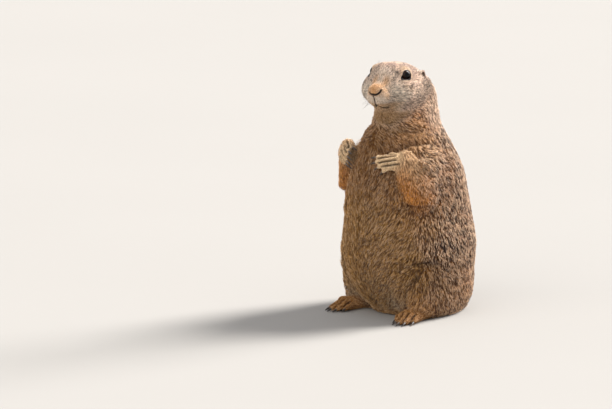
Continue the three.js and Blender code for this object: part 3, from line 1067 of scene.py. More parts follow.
@dataclass
class MarkingsAndPaintedLight:
    """The coat's colours with its painted light and shade, alike on the skin and the tufts. Sizes are in
    millimetres.
    """

    pose: Pose
    surface: Surface
    labels: Array
    palette: Palette = PALETTE
    elbow: Patch = Patch((54, -26, 120), 23)
    # The wrist takes the paw's paler colour: partly its fur, partly a painted highlight on the arm's top.
    wrist: Patch = Patch((42, -37, 155), 17)
    jowl: Patch = Patch((27, 5, -22), 12)
    brow: Patch = Patch((10, -15, 1), 7)
    blaze: tuple[Patch, ...] = (Patch((16, -20, -14.5), 7), Patch((22, -15.5, -16.5), 6))
    streaks: tuple[Patch, ...] = (Patch((25, -10, -11), 4.5), Patch((28, -2, -16), 5))
    golden: tuple[Patch, ...] = (Patch((8.5, -27.5, -10.5), 4), Patch((10, -27, -15.5), 3.4))
    # The first two darken the face before and below the eye; the last three are painted shade under the
    # ear's fold.
    spots_and_shade: tuple[Patch, ...] = (
        Patch((21, -13.3, -8.4), 2.6),
        Patch((17.6, -13, -3.4), 1.7, 1.2),
        Patch((25.3, 18, -8), 2.4),
        Patch((21.8, 19.6, -3.8), 1.8),
        Patch((28.4, 18.2, -13), 2.6, 0.7),
    )
    ear_rim: tuple[Patch, ...] = (Patch((21.4, 16.4, 0.3), 2.6), Patch((23.1, 13.8, -4.8), 1.7))
    eye_ring_gap: float = 7.2
    eye_ring_width: float = 1.5

    def lay(self, ground: Array, grizzle: Array) -> tuple[Array, Array]:
        """Lays the markings, painted highlights and painted shade over each region's own colour.

        Args:
            ground: each point's colour, linear.
            grizzle: how banded the coat is at each point.

        Returns:
            The new colours and the new grizzle.
        """
        ground, grizzle = self._trunk(ground, grizzle)
        return self._head(ground, grizzle)

    def _share(self, rounds: int, *regions: Region) -> Array:
        """Gives how far each point belongs to some regions, from 0 to 1."""
        return self.surface.spread(belongs(self.labels, *regions).astype(float), rounds)

    def _layered(self, ground: Array, layers: Sequence[tuple[Colour, Array]]) -> Array:
        """Lays colours over the ground one after another, each with its share at each point."""
        for colour, share in layers:
            ground = blend_to(ground, colour, share)
        return ground

    def _trunk(self, ground: Array, grizzle: Array) -> tuple[Array, Array]:
        """Lays the markings of the trunk, the neck and the arms, with their painted highlights and shade.
        """
        p = self.palette
        trunk = self._share(12, Region.TORSO, Region.THIGH, Region.NECK)
        arm = self._share(16, Region.UPPER_ARM, Region.FOREARM)
        body = self.pose.to_body(self.surface.points)
        x, y, z = np.abs(body[:, 0]), body[:, 1], body[:, 2]
        waver = Waves(26 * MM, 5).at(self.surface.points)
        around = np.degrees(np.abs(bearing(body))) + waver * 6
        ahead = 1 - smooth_step(y, 36, 52)
        front = smooth_step(around, 88, 52) * trunk * ahead * smooth_step(z, 196, 172)
        # high carries the darker chest colour: partly its fur, partly painted shade.
        high = front * smooth_step(z, 95, 140)
        shank = bell(np.hypot(x - 46, y + 27), 15) * smooth_step(z, 44, 18) * trunk
        groin = bell(np.hypot(x - 31, y + 38), 9) * smooth_step(z, 56, 32) * trunk
        rear = smooth_step(around, 118, 150) * trunk
        behind = smooth_step(y + waver * 4, -44, -14) * arm
        elbow = self.elbow.share(body) * trunk
        # The fur above the shoulder fold, lightened as a painted highlight from above.
        collar_highlight = bell(z - 167 - y * 0.15, 12) * bell(y + 16 + waver * 3, 17) * np.maximum(trunk, arm)
        # Paw colour on the arm's top at the wrist: partly paler fur, partly a painted highlight from
        # above.
        wrist = self.wrist.share(body) * (1 - trunk)
        hip = bell(z - 46, 18) * smooth_step(around, 60, 85) * smooth_step(y, 30, 10) * trunk
        # A painted rim highlight on the back of the neck, high on the trunk.
        nape_highlight = smooth_step(y, -12, 6) * smooth_step(z, 165, 190) * trunk
        ground = self._layered(ground, [
            (p.belly, front),
            (p.chest, high * 0.8),
            (p.shank, shank * 0.9),
            (p.groin, groin * 0.85),
            (p.shadow, rear * 0.3),
            (p.back, behind * 0.9),
            (p.arm, elbow * 0.6),
            (p.collar_highlight, collar_highlight * 0.75),
            (p.paw, wrist * 0.75),
            (p.shadow, hip * 0.3),
            (p.nape_highlight, nape_highlight * 0.85),
        ])
        grizzle = grizzle * (1 - 0.8 * np.maximum(front, shank)) * (1 - 0.35 * rear)
        return ground, np.clip(grizzle + (0.8 - grizzle) * behind, 0, 1)

    def _head(self, ground: Array, grizzle: Array) -> tuple[Array, Array]:
        """Lays the markings of the head, with painted highlight and shade at the ear and painted shade at
        the chin.
        """
        p = self.palette
        share = self._share(10, Region.HEAD, Region.EAR)
        head = self.pose.to_head(self.surface.points)
        x, y, z = np.abs(head[:, 0]), head[:, 1], head[:, 2]
        crown = smooth_step(z, -8, 4) * share
        behind = smooth_step(y, -4, 12) * smooth_step(z, -3, -12)
        jowl = np.maximum(behind, self.jowl.share(head)) * share
        muzzle = smooth_step(y, -10, -19) * smooth_step(z, 0, -10) * share
        blaze = strongest(head, *self.blaze) * share
        streaks = strongest(head, *self.streaks) * share
        brow = self.brow.share(head) * share
        lip = smooth_step(z, -21, -25) * smooth_step(y, -12, -20) * share
        # The chin under the jaw: partly its fur, partly painted shade.
        chin = smooth_step(z, -30, -34) * smooth_step(y, 4, -10) * share
        bridge = bell(x, 7.5) * smooth_step(y, -8, -18) * smooth_step(z, -14, -8) * share
        wing = bell(x - 6, 3.2) * smooth_step(y, -16, -22) * smooth_step(z, -12, -6)
        golden = np.maximum(wing, strongest(head, *self.golden)) * share
        nose = bell(x, 7.5) * smooth_step(y, -22, -32) * smooth_step(z, -17, -13)
        eyes = [self.pose.to_head(eye[None]) for eye in self.pose.eyes.values()]
        rings = [bell(distances(head, eye) - self.eye_ring_gap, self.eye_ring_width) for eye in eyes]
        # Dark marks by the eye, and painted shade under the ear's fold.
        spots_and_shade = strongest(head, *self.spots_and_shade) * share
        # A painted highlight along the ear's rim, with its banding taken out.
        rim = strongest(head, *self.ear_rim) * share
        ground = self._layered(ground, [
            (p.crown, crown),
            (p.jowl, jowl * 0.95),
            (p.pale_face, muzzle * 0.75),
            (p.pale_face, blaze),
            (p.streak, streaks * 0.8),
            (p.pale_face, brow * 0.55),
            (p.lip, lip * 0.8),
            (p.chin, chin * 0.9),
            (p.bridge, bridge * 0.9),
            (p.golden, golden * 0.8),
            (p.nose, nose * 0.9),
            *((p.eye_ring, ring * 0.75) for ring in rings),
            (p.spot_and_shade, np.minimum(spots_and_shade * 1.2, 1) * 0.9),
            (p.ear_rim, np.minimum(rim * 1.3, 1)),
        ])
        plain = [muzzle * 0.5, bridge, nose, golden * 0.8, chin, lip, blaze * 0.6]
        grizzle = grizzle * (1 - 0.6 * jowl) * (1 - 0.85 * np.maximum.reduce(plain))
        for ring in rings:
            grizzle = grizzle * (1 - ring * 0.85)
        return ground, grizzle * (1 - rim * 0.9)


@dataclass
class Skin:
    """The whole animal's skin: one closed mesh that lies inside the solids by the coat's depth."""

    pose: Pose
    name: str = "skin"
    voxel: float = 0.85 * MM
    softening_rounds: int = 60
    coarse_share: float = 0.3
    lowest: float = 0.3 * MM
    tail_pull: float = 8.5
    ear_height: float = 0.5
    skin: Object = field(init=False)
    surface: Surface = field(init=False)
    labels: Array = field(init=False)
    hull: BVHTree = field(init=False)
    lines: list[Crease] = field(init=False)
    grooves: list[Crease] = field(init=False)
    fields: dict[str, Array] = field(default_factory=dict)

    def build(self) -> Object:
        """Makes the skin and works out what the coat needs to know at each of its points."""
        cad = self._flesh()
        tree = BVHTree.FromObject(cad, bpy.context.evaluated_depsgraph_get())
        owners = read(cad.data.attributes["region"].data, "value", kind=np.int32)
        self.skin = new_piece(self.name, cad.data.copy())
        self._fill()
        apply_modifier(self.skin, "REMESH", mode="VOXEL", voxel_size=self.voxel)
        self._soften(self._labels(tree, owners))
        self._refine()
        self.labels = self._labels(tree, owners)
        bpy.data.objects.remove(cad)
        self._flatten_ears()
        self._web()
        self.surface = Surface.of(self.skin.data)
        self._plan()
        self._sink()
        self._unwrap()
        self.surface = Surface.of(self.skin.data)
        for name in ("ground", "bare", "bare_colour"):
            set_values(self.skin.data, name, self.fields[name])
        return self.skin

    def dress(self) -> Object:
        """Gives the skin its finish; it stands for all the flesh."""
        self.skin.data.shade_smooth()
        nodes = [name for region in REGIONS for name in region.nodes]
        return finished(self.skin, SkinFinish().material(), "body_coat", *nodes)

    def _flesh(self) -> Object:
        """Joins copies of the flesh solids, marked with their region and how far they fill gaps."""
        parts = []
        for number, region in enumerate(REGIONS):
            for node in region.nodes:
                part = bare_copy(node, f"flesh_{node}")
                mark = part.data.attributes.new("region", "INT", "FACE")
                mark.data.foreach_set("value", np.full(len(part.data.polygons), number, np.int32))
                filling = np.full(len(part.data.vertices), FURS[region].filling)
                set_values(part.data, "filling", filling)
                parts.append(part)
        only(*parts)
        bpy.ops.object.join()
        return parts[0]

    def _fill(self) -> None:
        """Swells the joined solids, so that the skin bridges the narrow gaps between them."""
        mesh = self.skin.data
        filling = read(mesh.attributes["filling"].data, "value")
        surface = Surface.of(mesh)
        move_points(mesh, surface.points + surface.normals * (filling * MM)[:, None])

    def _labels(self, tree: BVHTree, owners: Array) -> Array:
        """Gives each point's region in REGIONS, as the owners of the joined solids' faces say."""
        nearest = [tree.find_nearest(v.co)[2] for v in self.skin.data.vertices]
        return owners[np.array(nearest)]

    def _group(self, name: str, weights: Array) -> None:
        """Stores a weight for each point, in steps of a tenth."""
        group = self.skin.vertex_groups.new(name=name)
        steps = np.round(weights * 10).astype(int)
        for step in np.unique(steps):
            group.add(np.nonzero(steps == step)[0].tolist(), float(step) / 10, "REPLACE")

    def _soften(self, labels: Array) -> None:
        """Smooths the flat faces away, least on the paws, and thins the mesh under deep coat."""
        head = self.pose.to_head(coordinates(self.skin.data))
        on_face = belongs(labels, Region.HEAD) & (head[:, 1] < -2)
        small = belongs(labels, Region.EAR, Region.FOREPAW, Region.HIND_FOOT)
        self._group("soft", per_point(labels, "softening"))
        self._group("coarse", 1.0 - (on_face | small))
        rounds = self.softening_rounds
        apply_modifier(self.skin, "SMOOTH", factor=0.6, iterations=rounds, vertex_group="soft")
        apply_modifier(self.skin, "SMOOTH", factor=0.5, iterations=2)
        apply_modifier(self.skin, "DECIMATE", ratio=self.coarse_share, vertex_group="coarse")

    def _refine(self) -> None:
        """Halves the faces of the muzzle and of the skin round the eyes."""
        mesh = self.skin.data
        points = coordinates(mesh)
        head = self.pose.to_head(points)
        fine = (head[:, 1] < -16) & (head[:, 2] > -34)
        for eye in self.pose.eyes.values():
            fine |= distances(points, eye) < 9 * MM
        corners = read(mesh.loops, "vertex_index", kind=np.int32)
        starts = read(mesh.polygons, "loop_start", kind=np.int32)
        chosen = np.logical_and.reduceat(fine[corners], starts)
        bpy.context.tool_settings.mesh_select_mode = (False, False, True)
        only(self.skin)
        bpy.ops.object.mode_set(mode="EDIT")
        bpy.ops.mesh.select_all(action="DESELECT")
        bpy.ops.object.mode_set(mode="OBJECT")
        mesh.polygons.foreach_set("select", chosen)
        bpy.ops.object.mode_set(mode="EDIT")
        bpy.ops.mesh.subdivide(number_cuts=1, smoothness=0)
        bpy.ops.mesh.vertices_smooth(factor=0.5, repeat=2)
        bpy.ops.object.mode_set(mode="OBJECT")

    def _flatten_ears(self) -> None:
        """Lays the ears closer to the head."""
        points = coordinates(self.skin.data)
        on_ear = belongs(self.labels, Region.EAR).astype(float)
        on_ear = Surface.of(self.skin.data).spread(on_ear, 6)
        head = self.pose.to_head(points)
        for sign in SIDES.values():
            out = np.array([sign * 0.97, 0.24, 0.09])
            mine = on_ear * (head[:, 0] * sign > 0)
            height = head @ out
            low = np.percentile(height[mine > 0.8], 12)
            drop = np.maximum(height - low, 0) * (1 - self.ear_height) * smooth_step(mine, 0.05, 0.7)
            points = points - self.pose.head_way(*out) * (drop * MM)[:, None]
        move_points(self.skin.data, points)

    def _web(self) -> None:
        """Fills the loose skin between the forearm and the shoulder."""
        surface = Surface.of(self.skin.data)
        points = surface.points
        tree = BVHTree.FromPolygons(points.tolist(), surface.triangles.tolist())
        normals = unit(surface.spread(surface.normals, 12))
        rise = sum(web.dip(points) for web in Folds(self.pose, tree).webs())
        move_points(self.skin.data, points - normals * rise[:, None])

    def _plan(self) -> None:
        """Works out the coat's sizes, colours and lie at each point."""
        fields, outer = self.fields, self.surface
        for name in ("length", "width", "depth", "cover", "clump", "grizzle", "filling"):
            fields[name] = outer.spread(per_point(self.labels, name), 8)
        grounds = np.array([linear(FURS[region].ground) for region in REGIONS])
        fields["ground"] = outer.spread(grounds[self.labels], 34)
        marks = MarkingsAndPaintedLight(self.pose, outer, self.labels)
        fields["ground"], fields["grizzle"] = marks.lay(fields["ground"], fields["grizzle"])
        fields["lie"] = Lie(self.pose).ways(outer, self.labels)
        self._shorten()

    def _shorten(self) -> None:
        """Shortens the coat towards the nose and the eyes, and bares what lies between the lids."""
        fields, points = self.fields, self.surface.points
        on_head = belongs(self.labels, Region.HEAD)
        to_nose = distances(self.pose.to_head(points), (0, -32, -13))
        short = 0.24 + 0.76 * smooth_step(to_nose, 5, 28)
        bare = np.zeros(len(short))
        for side, eye in self.pose.eyes.items():
            gap = distances(points, eye) / MM
            short = np.minimum(short, 0.34 + 0.66 * smooth_step(gap, 7, 12))
            bare = np.maximum(bare, Eye(self.pose, side).inside(points, 0.5))
        short = np.where(on_head, short, 1)
        belly = bell(bearing(self.pose.to_body(points)), 0.9) * belongs(self.labels, Region.TORSO)
        fields["length"] = fields["length"] * short * (1 + 0.2 * belly)
        fields["width"] = fields["width"] * (0.6 + 0.4 * short)
        fields["depth"] = fields["depth"] * short * smooth_step(short, 0.2, 0.5)
        fields["cover"] = fields["cover"] / (0.45 + 0.55 * short)
        fields["bare"] = np.where(on_head, bare, 0)
        fields["bare_colour"] = np.tile(linear(PALETTE.bare), (len(short), 1))

    def _sink(self) -> None:
        """Sinks the skin by the coat's depth, draws in the tail and presses the creases in."""
        fields, outer = self.fields, self.surface
        triangles = outer.triangles.tolist()
        normals = unit(outer.spread(outer.normals, 3))
        hull = outer.points - normals * (fields["filling"] * MM)[:, None]
        self.hull = BVHTree.FromPolygons(hull.tolist(), triangles)
        points = hull - normals * (outer.spread(fields["depth"], 3) * MM)[:, None]
        to_end = distances(points, self.pose.body_point(*TAIL_PATH[-1])) / MM
        on_tail = belongs(self.labels, Region.TAIL, Region.TAIL_TIP)
        pull = smooth_step(to_end, 45, 5) * self.tail_pull * MM * on_tail
        points = points - fields["lie"] * pull[:, None]
        tree = BVHTree.FromPolygons(points.tolist(), triangles)
        self.lines = Face(self.pose, tree).creases()
        self.grooves = Digits(self.pose, tree).grooves()
        folds = Folds(self.pose, tree).creases()
        dip = sum(crease.dip(points) for crease in self.lines + self.grooves + folds)
        self._mark_creases(points, folds)
        points = points - normals * dip[:, None]
        points[:, 2] = np.maximum(points[:, 2], self.lowest)
        move_points(self.skin.data, points)

    def _mark_creases(self, points: Array, folds: list[Crease]) -> None:
        """Bares the lines of the face, darkens every crease and parts the coat at the lines.

        Args:
            points: the skin's points before the creases are pressed in.
            folds: the folds of the loose skin.
        """
        fields = self.fields
        near = np.minimum.reduce([crease.nearness(points) for crease in self.lines])
        between = np.minimum.reduce([crease.nearness(points) for crease in self.grooves])
        line = np.maximum.reduce([crease.shade(points) for crease in self.lines])
        shadow = np.maximum.reduce([crease.shade(points) for crease in self.grooves + folds])
        fields["bare"] = np.maximum(fields["bare"], smooth_step(line, 0.2, 0.5))
        bared = blend_to(fields["ground"], PALETTE.bare, 0.85 * smooth_step(line, 0.1, 0.4))
        fields["ground"] = bared * (1 - 0.9 * shadow)[:, None]
        short = smooth_step(near, 0.5, 4) * (0.3 + 0.7 * smooth_step(between, 0.4, 2))
        fields["length"] = fields["length"] * (0.4 + 0.6 * short)
        fields["cover"] = fields["cover"] * (1 + 0.6 * smooth_step(near, 4, 0.5))

    def _unwrap(self) -> None:
        """Unwraps the skin's own shape into the bake map."""
        self.skin.data.uv_layers.new(name=BAKE_MAP)
        angle = math.radians(66)
        edit(self.skin, lambda: bpy.ops.uv.smart_project(angle_limit=angle, island_margin=0.002))


# Each fold's path on the body's left side, in its axes, and then its depth, width, swell and dark.
FOLDS = {
    "shoulder": (
        ((23, -40, 158), (27, -34, 162), (30, -28, 165), (34, -20, 166), (37, -12, 165.5), (39, -7, 164)),
        (3.2, 2.6, 0.45, 0.4),
    ),
    "throat": (
        ((11, -37, 184), (17, -34, 180), (23, -29, 177), (28, -21, 175.6), (30, -13, 176)),
        (2.2, 3.0, 0.5, 0.22),
    ),
    "elbow": (
        ((37, -45, 107), (41, -41, 109.5), (45, -37, 110.6), (52, -33, 112), (57, -27, 112)),
        (3.0, 2.8, 0.4, 0.3),
    ),
    "thigh": (
        ((41, -46, 50), (46, -41, 53), (51, -35, 56), (57, -25, 57), (60, -15, 55)),
        (4.0, 3.2, 0.45, 0.35),
    ),
    "groin": (
        ((52, -33, 45), (47, -40, 36), (43, -42, 23), (38, -40, 8)),
        (4.6, 3.4, 0.4, 0.55),
    ),
}

# The same for the skin between the forearm and the shoulder, which swells.
WEB = (
    ((42, -39, 156), (45, -36, 152), (45.4, -33, 149), (47.5, -30, 145.5), (49, -25.5, 142.5)),
    (-5.5, 7.0, 0.0, 0.0),
)


@dataclass
class Folds:
    """The folds of the loose skin at the neck, the elbow and the thigh, the same on both sides."""

    pose: Pose
    skin: BVHTree

    def laid(self, sign: int, path: Sequence[Place], sizes: Sequence[float]) -> Crease:
        """Lays a fold down on the skin of one side, from its path on the left and its sizes."""
        places = [self.pose.beside(sign, place) for place in path]
        on_skin = [self.skin.find_nearest(Vector(place))[0] for place in places]
        return Crease(np.array(on_skin), *sizes)

    def webs(self) -> list[Crease]:
        """Gives the swellings between the forearms and the shoulders."""
        return [self.laid(sign, *WEB) for sign in SIDES.values()]

    def creases(self) -> list[Crease]:
        """Gives all the folds."""
        return [self.laid(sign, *fold) for sign in SIDES.values() for fold in FOLDS.values()]


@dataclass
class Digits:
    """The grooves between the digits of each paw, found from the roots of its claws.

    Sizes are in millimetres, and those of grooves are their length back from the claws and depth.
    """

    pose: Pose
    skin: BVHTree
    points: int = 6
    reach: float = 10
    forepaw_grooves: Range = (19, 2.6)
    hind_grooves: Range = (13, 1.4)

    def grooves(self) -> list[Crease]:
        """Gives the grooves of all four paws."""
        found = []
        for side, sign in SIDES.items():
            over = unit(np.array([sign * 0.75, -0.5, 0.6]))
            wrist = self.pose.beside(sign, WRIST)
            found += self._of(f"forepaw_{side}", wrist, over, *self.forepaw_grooves)
            heel = self.pose.beside(sign, HEEL)
            found += self._of(f"hind_foot_{side}", heel, np.array([0, 0, 1.0]), *self.hind_grooves)
        return found

    def _root(self, node: str, base: Array) -> Array:
        """Finds where a claw leaves its digit."""
        points = coordinates(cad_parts[node].data)
        gap = distances(points, base)
        return points[gap < gap.min() + 0.8 * MM].mean(axis=0)

    def _of(self, paw: str, base: Array, over: Array, length: float, depth: float) -> list[Crease]:
        """Gives the grooves on the back of one paw.

        Args:
            paw: the paw's node.
            base: the wrist or the heel.
            over: the way out of the back of the paw.
            length: how far the grooves run back from the claws.
            depth: how deep they are.

        Returns:
            Four grooves, or fewer where one misses the skin.
        """
        roots = [self._root(f"{paw}_claw_{digit}", base) for digit in range(1, DIGITS + 1)]
        heading = unit(np.mean(roots, axis=0) - base)
        over = unit(over - heading * (over @ heading))
        grooves = []
        for first, second in zip(roots[:-1], roots[1:]):
            path = []
            for share in np.linspace(-0.1, 1, self.points):
                place = (first + second) / 2 - heading * share * length * MM
                hit = self.skin.ray_cast(Vector(place + over * 15 * MM), Vector(-over))[0]
                if hit is not None and np.linalg.norm(np.array(hit) - place) < self.reach * MM:
                    path.append(np.array(hit))
            if len(path) > 1:
                grooves.append(Crease(np.array(path), depth, width=0.95, swell=0.2, dark=1.0))
        return grooves
class Zone(Enum):
    """The pieces that the coat is made in."""

    MUZZLE = "muzzle"
    FACE = "face"
    CROWN = "crown"
    NECK = "neck"
    CHEST = "chest"
    BELLY = "belly"
    LEFT_FLANK = "left_flank"
    RIGHT_FLANK = "right_flank"
    BACK = "back"
    RUMP = "rump"
    THIGHS = "thighs"
    ARMS = "arms"
    FOREPAWS = "forepaws"
    HIND_FEET = "hind_feet"
    TAIL = "tail"
    TAIL_TIP = "tail_tip"

    @property
    def slot(self) -> str:
        """The material slot."""
        slots = {Zone.TAIL_TIP: "tail_tip"}
        slots |= dict.fromkeys((Zone.MUZZLE, Zone.FACE, Zone.CROWN), "face_coat")
        slots |= dict.fromkeys((Zone.ARMS, Zone.FOREPAWS, Zone.HIND_FEET, Zone.TAIL), "limb_coat")
        return slots.get(self, "body_coat")

    @property
    def piece(self) -> str:
        """The name of the piece."""
        return f"coat_{self.value}"


@dataclass
class Tufts:
    """Tufts as arrays: a root, an upward and a lying direction and sizes for each."""

    roots: Array
    normals: Array
    ways: Array
    uvs: Array
    length: Array
    width: Array
    depth: Array
    clump: Array
    grizzle: Array
    ground: Array
    labels: Array

    def chosen(self, which: Array) -> "Tufts":
        """Gives some of the tufts."""
        return Tufts(**{name: values[which] for name, values in vars(self).items()})

    def on(self, *regions: Region) -> Array:
        """Tells which tufts grow on the given regions."""
        return belongs(self.labels, *regions)


@dataclass
class Coat:
    """The coat: solid, tapered tufts that overlap and lie along the body.

    A spread is the lowest and the highest factor that chance gives a tuft's length, width or rise.
    strays is in degrees, and proud, how far tips stand out of the solids on average, is in
    millimetres. tones holds how much a tuft's own tone, its clump's and the wider grain count. The
    zones end at depths in the head's axes, at angles round the body and at heights in its axes.
    """

    pose: Pose
    skin: Skin
    strays: float = 10
    wander: float = math.radians(9)
    wander_size: float = 17 * MM
    clump_size: int = 3
    clump_reach: float = 0.6
    length_spread: Range = (0.75, 1.2)
    width_spread: Range = (0.75, 1.25)
    rise_spread: Range = (0.7, 1.1)
    slopes: Range = (0.12, 0.85)
    droop: Range = (0.02, 0.1)
    thickness: float = 0.42
    root_width: float = 0.6
    proud: float = 0.6
    grain: float = 2.4 * MM
    tones: tuple[float, float, float] = (0.55, 0.3, 0.15)
    contrast: float = 1.8
    muzzle_end: float = -18
    face_end: float = 2
    rear_angle: float = 118
    flank_angle: float = 52
    back_bottom: float = 92
    chest_bottom: float = 98
    tufts: Tufts = field(init=False)
    centre: Array = field(init=False)
    chance: np.random.Generator = field(default_factory=lambda: np.random.default_rng(SEED))

    def build(self) -> dict[Zone, Object]:
        """Grows the tufts and joins them zone by zone."""
        self.tufts = self._roots()
        self.centre = self._clumps()
        points, tone = self._shape()
        kept = self._parted(points)
        tufts, points, tone = self.tufts.chosen(kept), points[kept], tone[kept]
        zones = self._zones(tufts)
        LOG.info("coat: %d tufts", len(tufts.roots))
        pieces = {}
        for zone in Zone:
            which = zones == list(Zone).index(zone)
            if which.any():
                pieces[zone] = self._joined(zone, tufts.chosen(which), points[which], tone[which])
        return pieces

    def dress(self, pieces: dict[Zone, Object]) -> None:
        """Gives every zone the fur's finish."""
        material = CoatFinish().material()
        for zone, piece in pieces.items():
            finished(piece, material, zone.slot)

    def _roots(self) -> Tufts:
        """Spreads roots over the skin, as densely as each place asks."""
        rng = self.chance
        surface, fields = self.skin.surface, self.skin.fields
        corners = surface.points[surface.triangles]
        cross = np.cross(corners[:, 1] - corners[:, 0], corners[:, 2] - corners[:, 0])
        area = np.linalg.norm(cross, axis=1) / 2 / MM**2
        furred = fields["cover"] * (1 - smooth_step(fields["bare"], 0.25, 0.6))
        furred = furred * smooth_step(surface.points[:, 2], 0.4 * MM, 1.5 * MM)
        total = np.cumsum(area * furred[surface.triangles].mean(axis=1))
        marks = np.arange(0.5, total[-1])
        marks = marks + rng.uniform(-0.45, 0.45, len(marks))
        found = np.minimum(np.searchsorted(total, marks), len(total) - 1)
        first = np.sqrt(rng.random(len(found)))
        second = rng.random(len(found))
        shares = np.stack([1 - first, first * (1 - second), first * second], axis=1)
        triangles = surface.triangles[found]

        def value(values: Array) -> Array:
            """Mixes the values of a triangle's corners."""
            return np.einsum("nk,nk...->n...", shares, values[triangles])

        names = ("length", "width", "depth", "clump", "grizzle", "ground")
        return Tufts(
            roots=value(surface.points),
            normals=unit(value(surface.normals)),
            ways=value(fields["lie"]),
            uvs=np.einsum("nk,nkd->nd", shares, surface.corner_uvs[found]),
            labels=self.skin.labels[triangles[:, 0]],
            **{name: value(fields[name]) for name in names},
        )

    def _clumps(self) -> Array:
        """Finds the number of the tuft that each tuft's clump gathers round."""
        roots = self.tufts.roots
        centres = self.chance.choice(len(roots), len(roots) // self.clump_size, replace=False)
        tree = KDTree(len(centres))
        for number, centre in enumerate(centres):
            tree.insert(roots[centre], number)
        tree.balance()
        return centres[np.array([tree.find(root)[1] for root in roots])]

    def _strayed(self) -> Array:
        """Turns every tuft's way a little, by itself, with its clump and with its place."""
        tufts, count = self.tufts, len(self.tufts.roots)
        stray = self.chance.normal(0, math.radians(self.strays), count)
        clump_stray = self.chance.normal(0, math.radians(self.strays * 0.8), count)[self.centre]
        turn = stray + clump_stray + Waves(self.wander_size, 3).at(tufts.roots) * self.wander
        across = np.cross(tufts.ways, tufts.normals)
        ways = unit(tufts.ways * np.cos(turn)[:, None] + across * np.sin(turn)[:, None])
        return unit(along_skin(ways, tufts.normals))

    def _bent(self, ways: Array) -> tuple[Array, Array]:
        """Raises every tuft to its middle, bends it over and draws it to its clump's centre.

        Args:
            ways: the direction in which each lies.

        Returns:
            The middle and the tip of each tuft.
        """
        rng, tufts, normals = self.chance, self.tufts, self.tufts.normals
        count = len(tufts.roots)
        ragged = 1 + 0.12 * Waves(7 * MM, 8).at(tufts.roots)
        length = tufts.length * rng.uniform(*self.length_spread, count) * ragged * MM
        rise = rng.uniform(*self.rise_spread, count) + np.maximum(rng.normal(0, 0.14, count), 0)
        slope = np.clip(2 * tufts.depth * MM * rise / length, *self.slopes)
        leg = length[:, None] / 2
        middle = leg * (ways * np.sqrt(1 - slope**2)[:, None] + normals * slope[:, None])
        droop = rng.normal(*self.droop, count)
        tip = middle + leg * unit(ways + normals * droop[:, None])
        draw = (tufts.roots[self.centre] - tufts.roots) * tufts.clump[:, None]
        far = np.linalg.norm(draw, axis=1, keepdims=True)
        draw = draw * np.minimum(1, leg * self.clump_reach / np.maximum(far, 1e-9))
        middle = tufts.roots + middle + draw * 0.5
        tip = self._brushed(tufts.roots + tip + draw * 1.7)
        return middle, self._held(tip, rng.exponential(self.proud, count))

    def _shape(self) -> tuple[Array, Array]:
        """Shapes every tuft: a triangle at the root, a wider one at the middle, and the tip.

        Returns:
            The points of each tuft (n, 7, 3) and the tone of each.
        """
        rng, tufts, count = self.chance, self.tufts, len(self.tufts.roots)
        ways = self._strayed()
        middle, tip = self._bent(ways)
        across = np.cross(ways, tufts.normals)
        width = (tufts.width * rng.uniform(*self.width_spread, count) * MM)[:, None]
        base = tufts.roots - tufts.normals * width * 0.4
        points = []
        for at, size in ((base, self.root_width), (middle, 1.0)):
            points += [at - across * width * size / 2, at + across * width * size / 2]
            points.append(at + tufts.normals * width * size * self.thickness)
        points = np.stack([*points, tip], axis=1)
        points[:, :, 2] = np.maximum(points[:, :, 2], LOWEST_HAIR)
        own, clump, wide = self.tones
        grain = 0.5 + 0.5 * Waves(self.grain, 12).at(tufts.roots)
        tone = own * rng.random(count) + clump * rng.random(count)[self.centre] + wide * grain
        return points, np.clip(0.5 + self.contrast * (tone - 0.5), 0, 1)

    def _brushed(self, tips: Array) -> Array:
        """Draws the tips at the end of the tail in to its axis, so that it ends in a point."""
        bend, end = (self.pose.body_point(*place) for place in TAIL_PATH[-2:])
        axis = unit(end - bend)
        off = tips - end
        along = off @ axis
        radial = off - along[:, None] * axis
        draw = smooth_step(along / MM, -24, 6) * self.tufts.on(Region.TAIL_TIP)
        return tips - radial * (draw * 0.8)[:, None]

    def _held(self, tips: Array, proud: Array) -> Array:
        """Draws in the tips that stand out of the solids by more millimetres than they may."""
        nearest = [self.skin.hull.find_nearest(tip)[:2] for tip in tips]
        places = np.array([place for place, _ in nearest])
        normals = np.array([normal for _, normal in nearest])
        height = np.sum((tips - places) * normals, axis=1)
        return tips - normals * np.maximum(height - proud * MM, 0)[:, None]

    def _parted(self, points: Array) -> Array:
        """Parts the coat over the eyes, the lines of the face and the grooves between digits.

        Args:
            points: the points of each tuft.

        Returns:
            Which tufts stay.
        """
        root, middle, tip = points[:, 0], points[:, 3], points[:, 6]
        kept = np.ones(len(points), bool)
        for side in SIDES:
            eye = Eye(self.pose, side)
            kept &= (eye.inside(middle, 0.7) < 0.5) & (eye.inside(tip, 0.7) < 0.5)
        for line in self.skin.lines:
            kept &= line.nearness(tip) > line.width * 0.7 + 0.6
            kept &= line.nearness(root) > line.width * 0.6
        for groove in self.skin.grooves:
            kept &= (groove.nearness(tip) > groove.width) & (groove.nearness(root) > groove.width)
        return kept

